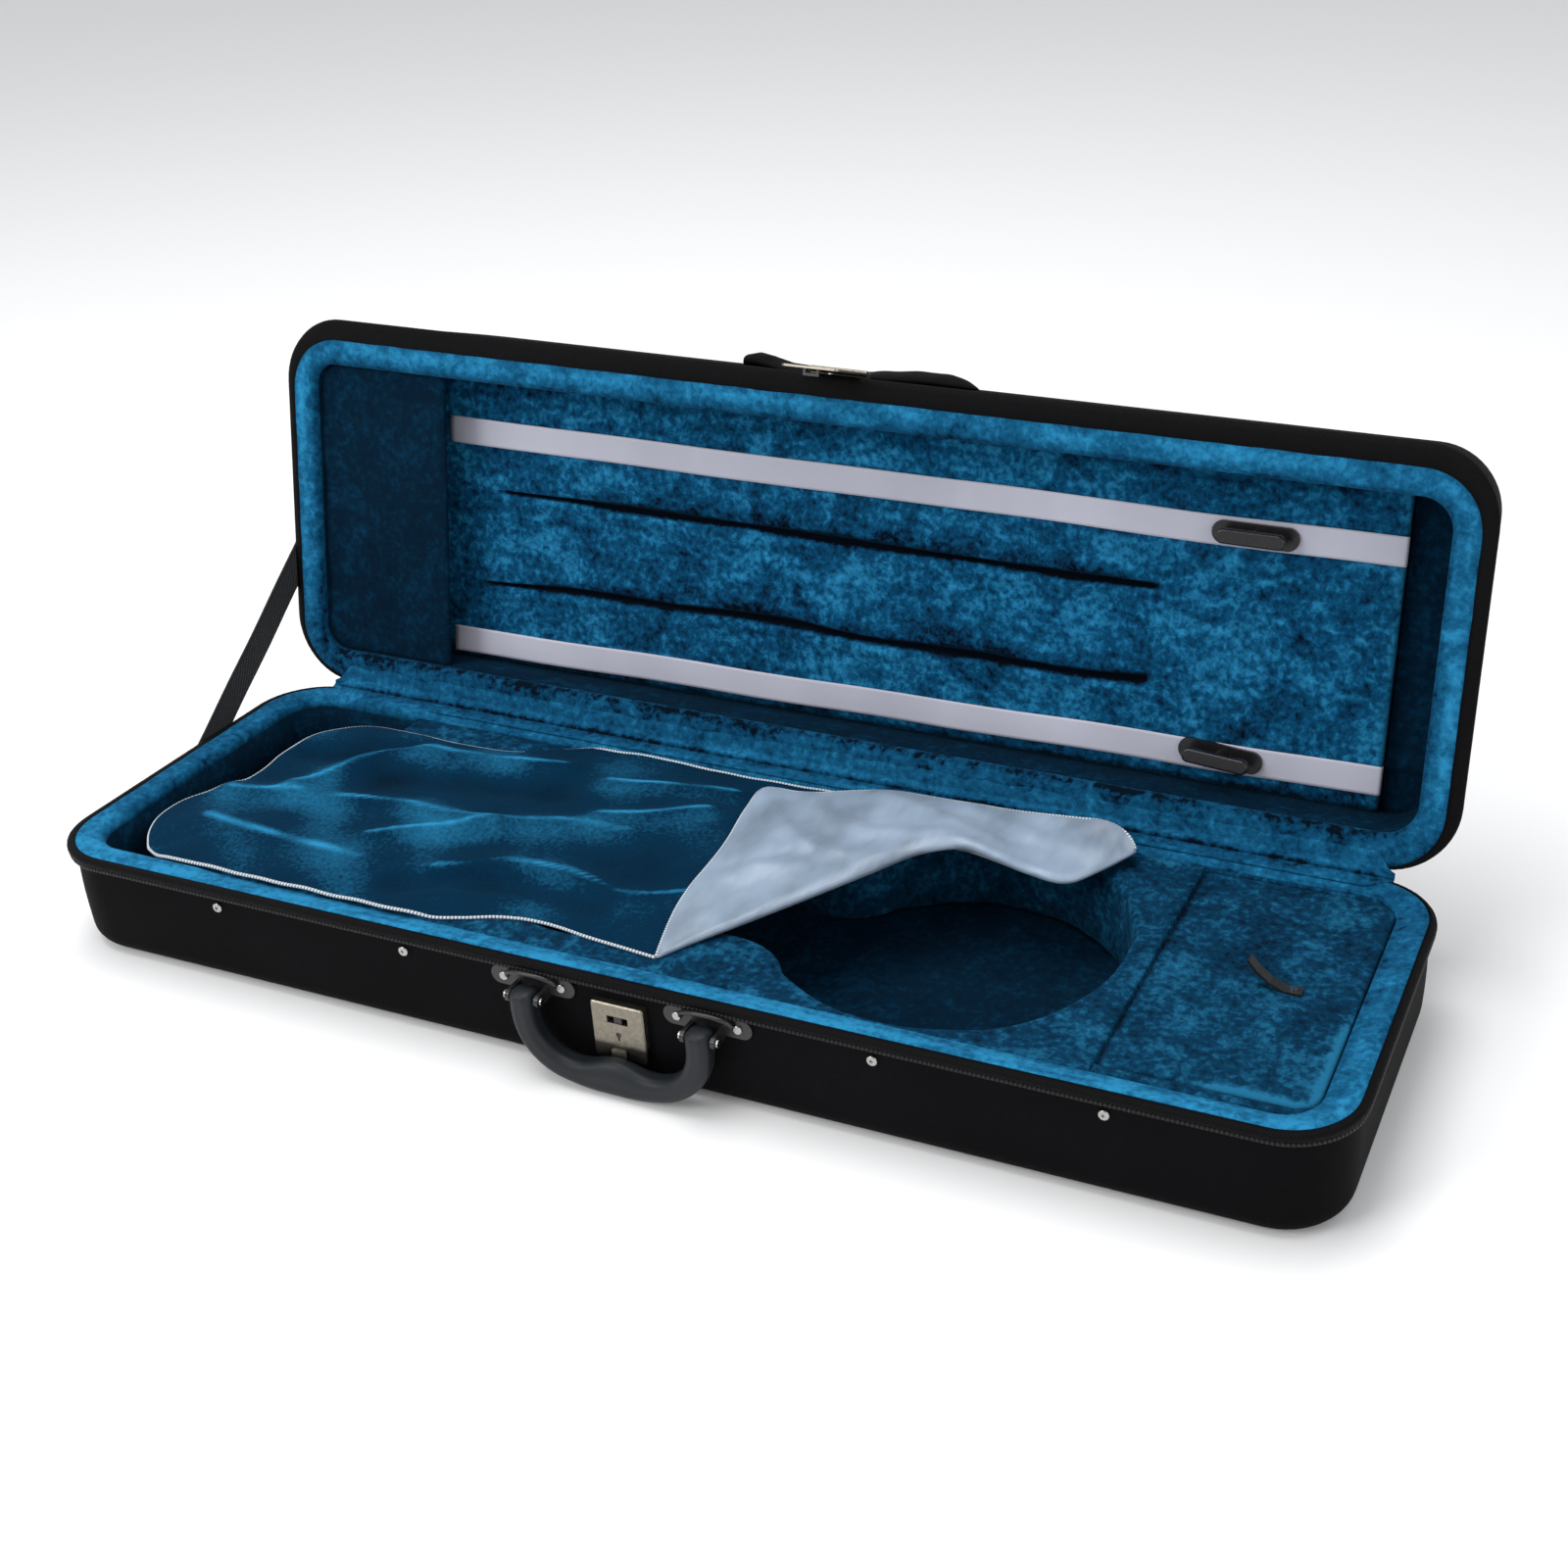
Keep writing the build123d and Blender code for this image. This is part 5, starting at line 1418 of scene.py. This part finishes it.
def area_light(name, place, target, size, power):
    """A square soft box aimed at a point."""
    data = bpy.data.lights.new(name, "AREA")
    data.shape = "RECTANGLE"
    data.size, data.size_y = size
    data.energy = power
    lamp = bpy.data.objects.new(name, data)
    lamp.location = place
    lamp.rotation_mode = "QUATERNION"
    lamp.rotation_quaternion = (Vector(target) - Vector(place)).to_track_quat("-Z", "Y")
    bpy.context.scene.collection.objects.link(lamp)


# Lamps: name, place and aim in metres, size of the panel and power in watts
LAMPS = (
    ("overhead", (-0.3, 0.1, 2.6), (0, 0.05, 0), (2.2, 1.4), 42.0),
    ("key", (-1.6, -2.2, 1.9), (0, 0, 0.1), (1.3, 1.3), 36.0),
    ("fill", (2.4, -1.6, 1.4), (0.1, 0, 0.1), (1.6, 1.6), 16.0),
)
SKY_COLOUR, SKY_STRENGTH = (0.97, 0.98, 1.0, 1.0), 0.62
LENS, SENSOR, SHIFT = 47.52, 36.0, (-0.1258, -0.0370)
CAMERA_PLACE = (0.5422, -0.9140, 0.7108)
CAMERA_RIGHT = (0.928101, 0.371956, -0.016670)
CAMERA_DOWN = (0.158571, -0.435379, -0.886169)
CAMERA_AHEAD = (-0.336874, 0.819814, -0.463057)


def studio_world():
    """A faint, even sky."""
    world = bpy.data.worlds.new("Studio")
    world.use_nodes = True
    back = world.node_tree.nodes["Background"]
    back.inputs["Color"].default_value = SKY_COLOUR
    back.inputs["Strength"].default_value = SKY_STRENGTH
    return world


def studio_camera():
    """The camera, turned by its own right, down and ahead directions."""
    data = bpy.data.cameras.new("Camera")
    data.sensor_width = SENSOR
    data.lens = LENS
    data.shift_x, data.shift_y = SHIFT
    data.clip_start, data.clip_end = 0.05, 60.0
    camera = bpy.data.objects.new("Camera", data)
    axes = (Vector(CAMERA_RIGHT), -Vector(CAMERA_DOWN), -Vector(CAMERA_AHEAD))
    camera.matrix_world = Matrix.Translation(CAMERA_PLACE) @ Matrix(axes).transposed().to_4x4()
    return camera


class CASE_OT_stage(bpy.types.Operator):
    """Make the pale floor, the soft lights and the camera"""

    bl_idname = "case.stage"
    bl_label = "Stage"

    def execute(self, context):
        scene = context.scene
        half = scene.case_sizes.floor_size / MM
        corners = np.array([(-half, -half, 0), (half, -half, 0), (half, half, 0), (-half, half, 0)], float)
        ground = new_object("studio_floor", corners, np.array([[0, 1, 2, 3]]))
        matt = Finish("studio_floor", scene.case_colours.floor, 0.9, specular_ior_level=0.1)
        matt.rough(matt.noise(3.0), 0.86, 0.95)
        ground.data.materials.append(matt.material)
        scene.world = studio_world()
        scene.view_settings.view_transform = "Standard"
        for lamp in LAMPS:
            area_light(*lamp)
        scene.camera = studio_camera()
        scene.collection.objects.link(scene.camera)
        return {"FINISHED"}


# ---------------------------------------------------------------- panel and run

OPERATORS = (CASE_OT_base_cover, CASE_OT_base_plush, CASE_OT_hinge_strip, CASE_OT_accessory_lid,
             CASE_OT_lid_cover, CASE_OT_lid_plush, CASE_OT_ribbons,
             CASE_OT_blanket, CASE_OT_handle, CASE_OT_stay_strap, CASE_OT_lock_flap, CASE_OT_hardware,
             CASE_OT_stage)


class CASE_PT_panel(bpy.types.Panel):
    """The case's sizes, colours and steps"""

    bl_label = "Violin Case"
    bl_idname = "CASE_PT_panel"
    bl_space_type = "VIEW_3D"
    bl_region_type = "UI"
    bl_category = "Violin Case"

    def draw(self, context):
        for group in (context.scene.case_sizes, context.scene.case_colours):
            box = self.layout.box()
            for name in group.bl_rna.properties.keys():
                if name not in ("rna_type", "name"):
                    box.prop(group, name)
        for operator in OPERATORS:
            self.layout.operator(operator.bl_idname)


CLASSES = (CaseSizes, CaseColours, *OPERATORS, CASE_PT_panel)


def register():
    """Register the classes and hang the property groups on the scene."""
    for cls in CLASSES:
        bpy.utils.register_class(cls)
    bpy.types.Scene.case_sizes = bpy.props.PointerProperty(type=CaseSizes)
    bpy.types.Scene.case_colours = bpy.props.PointerProperty(type=CaseColours)


def unregister():
    """Take the property groups and classes away again."""
    del bpy.types.Scene.case_colours
    del bpy.types.Scene.case_sizes
    for cls in reversed(CLASSES):
        bpy.utils.unregister_class(cls)


def main():
    """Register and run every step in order."""
    register()
    for operator in OPERATORS:
        group, name = operator.bl_idname.split(".")
        getattr(getattr(bpy.ops, group), name)()


if __name__ == "__main__":
    main()
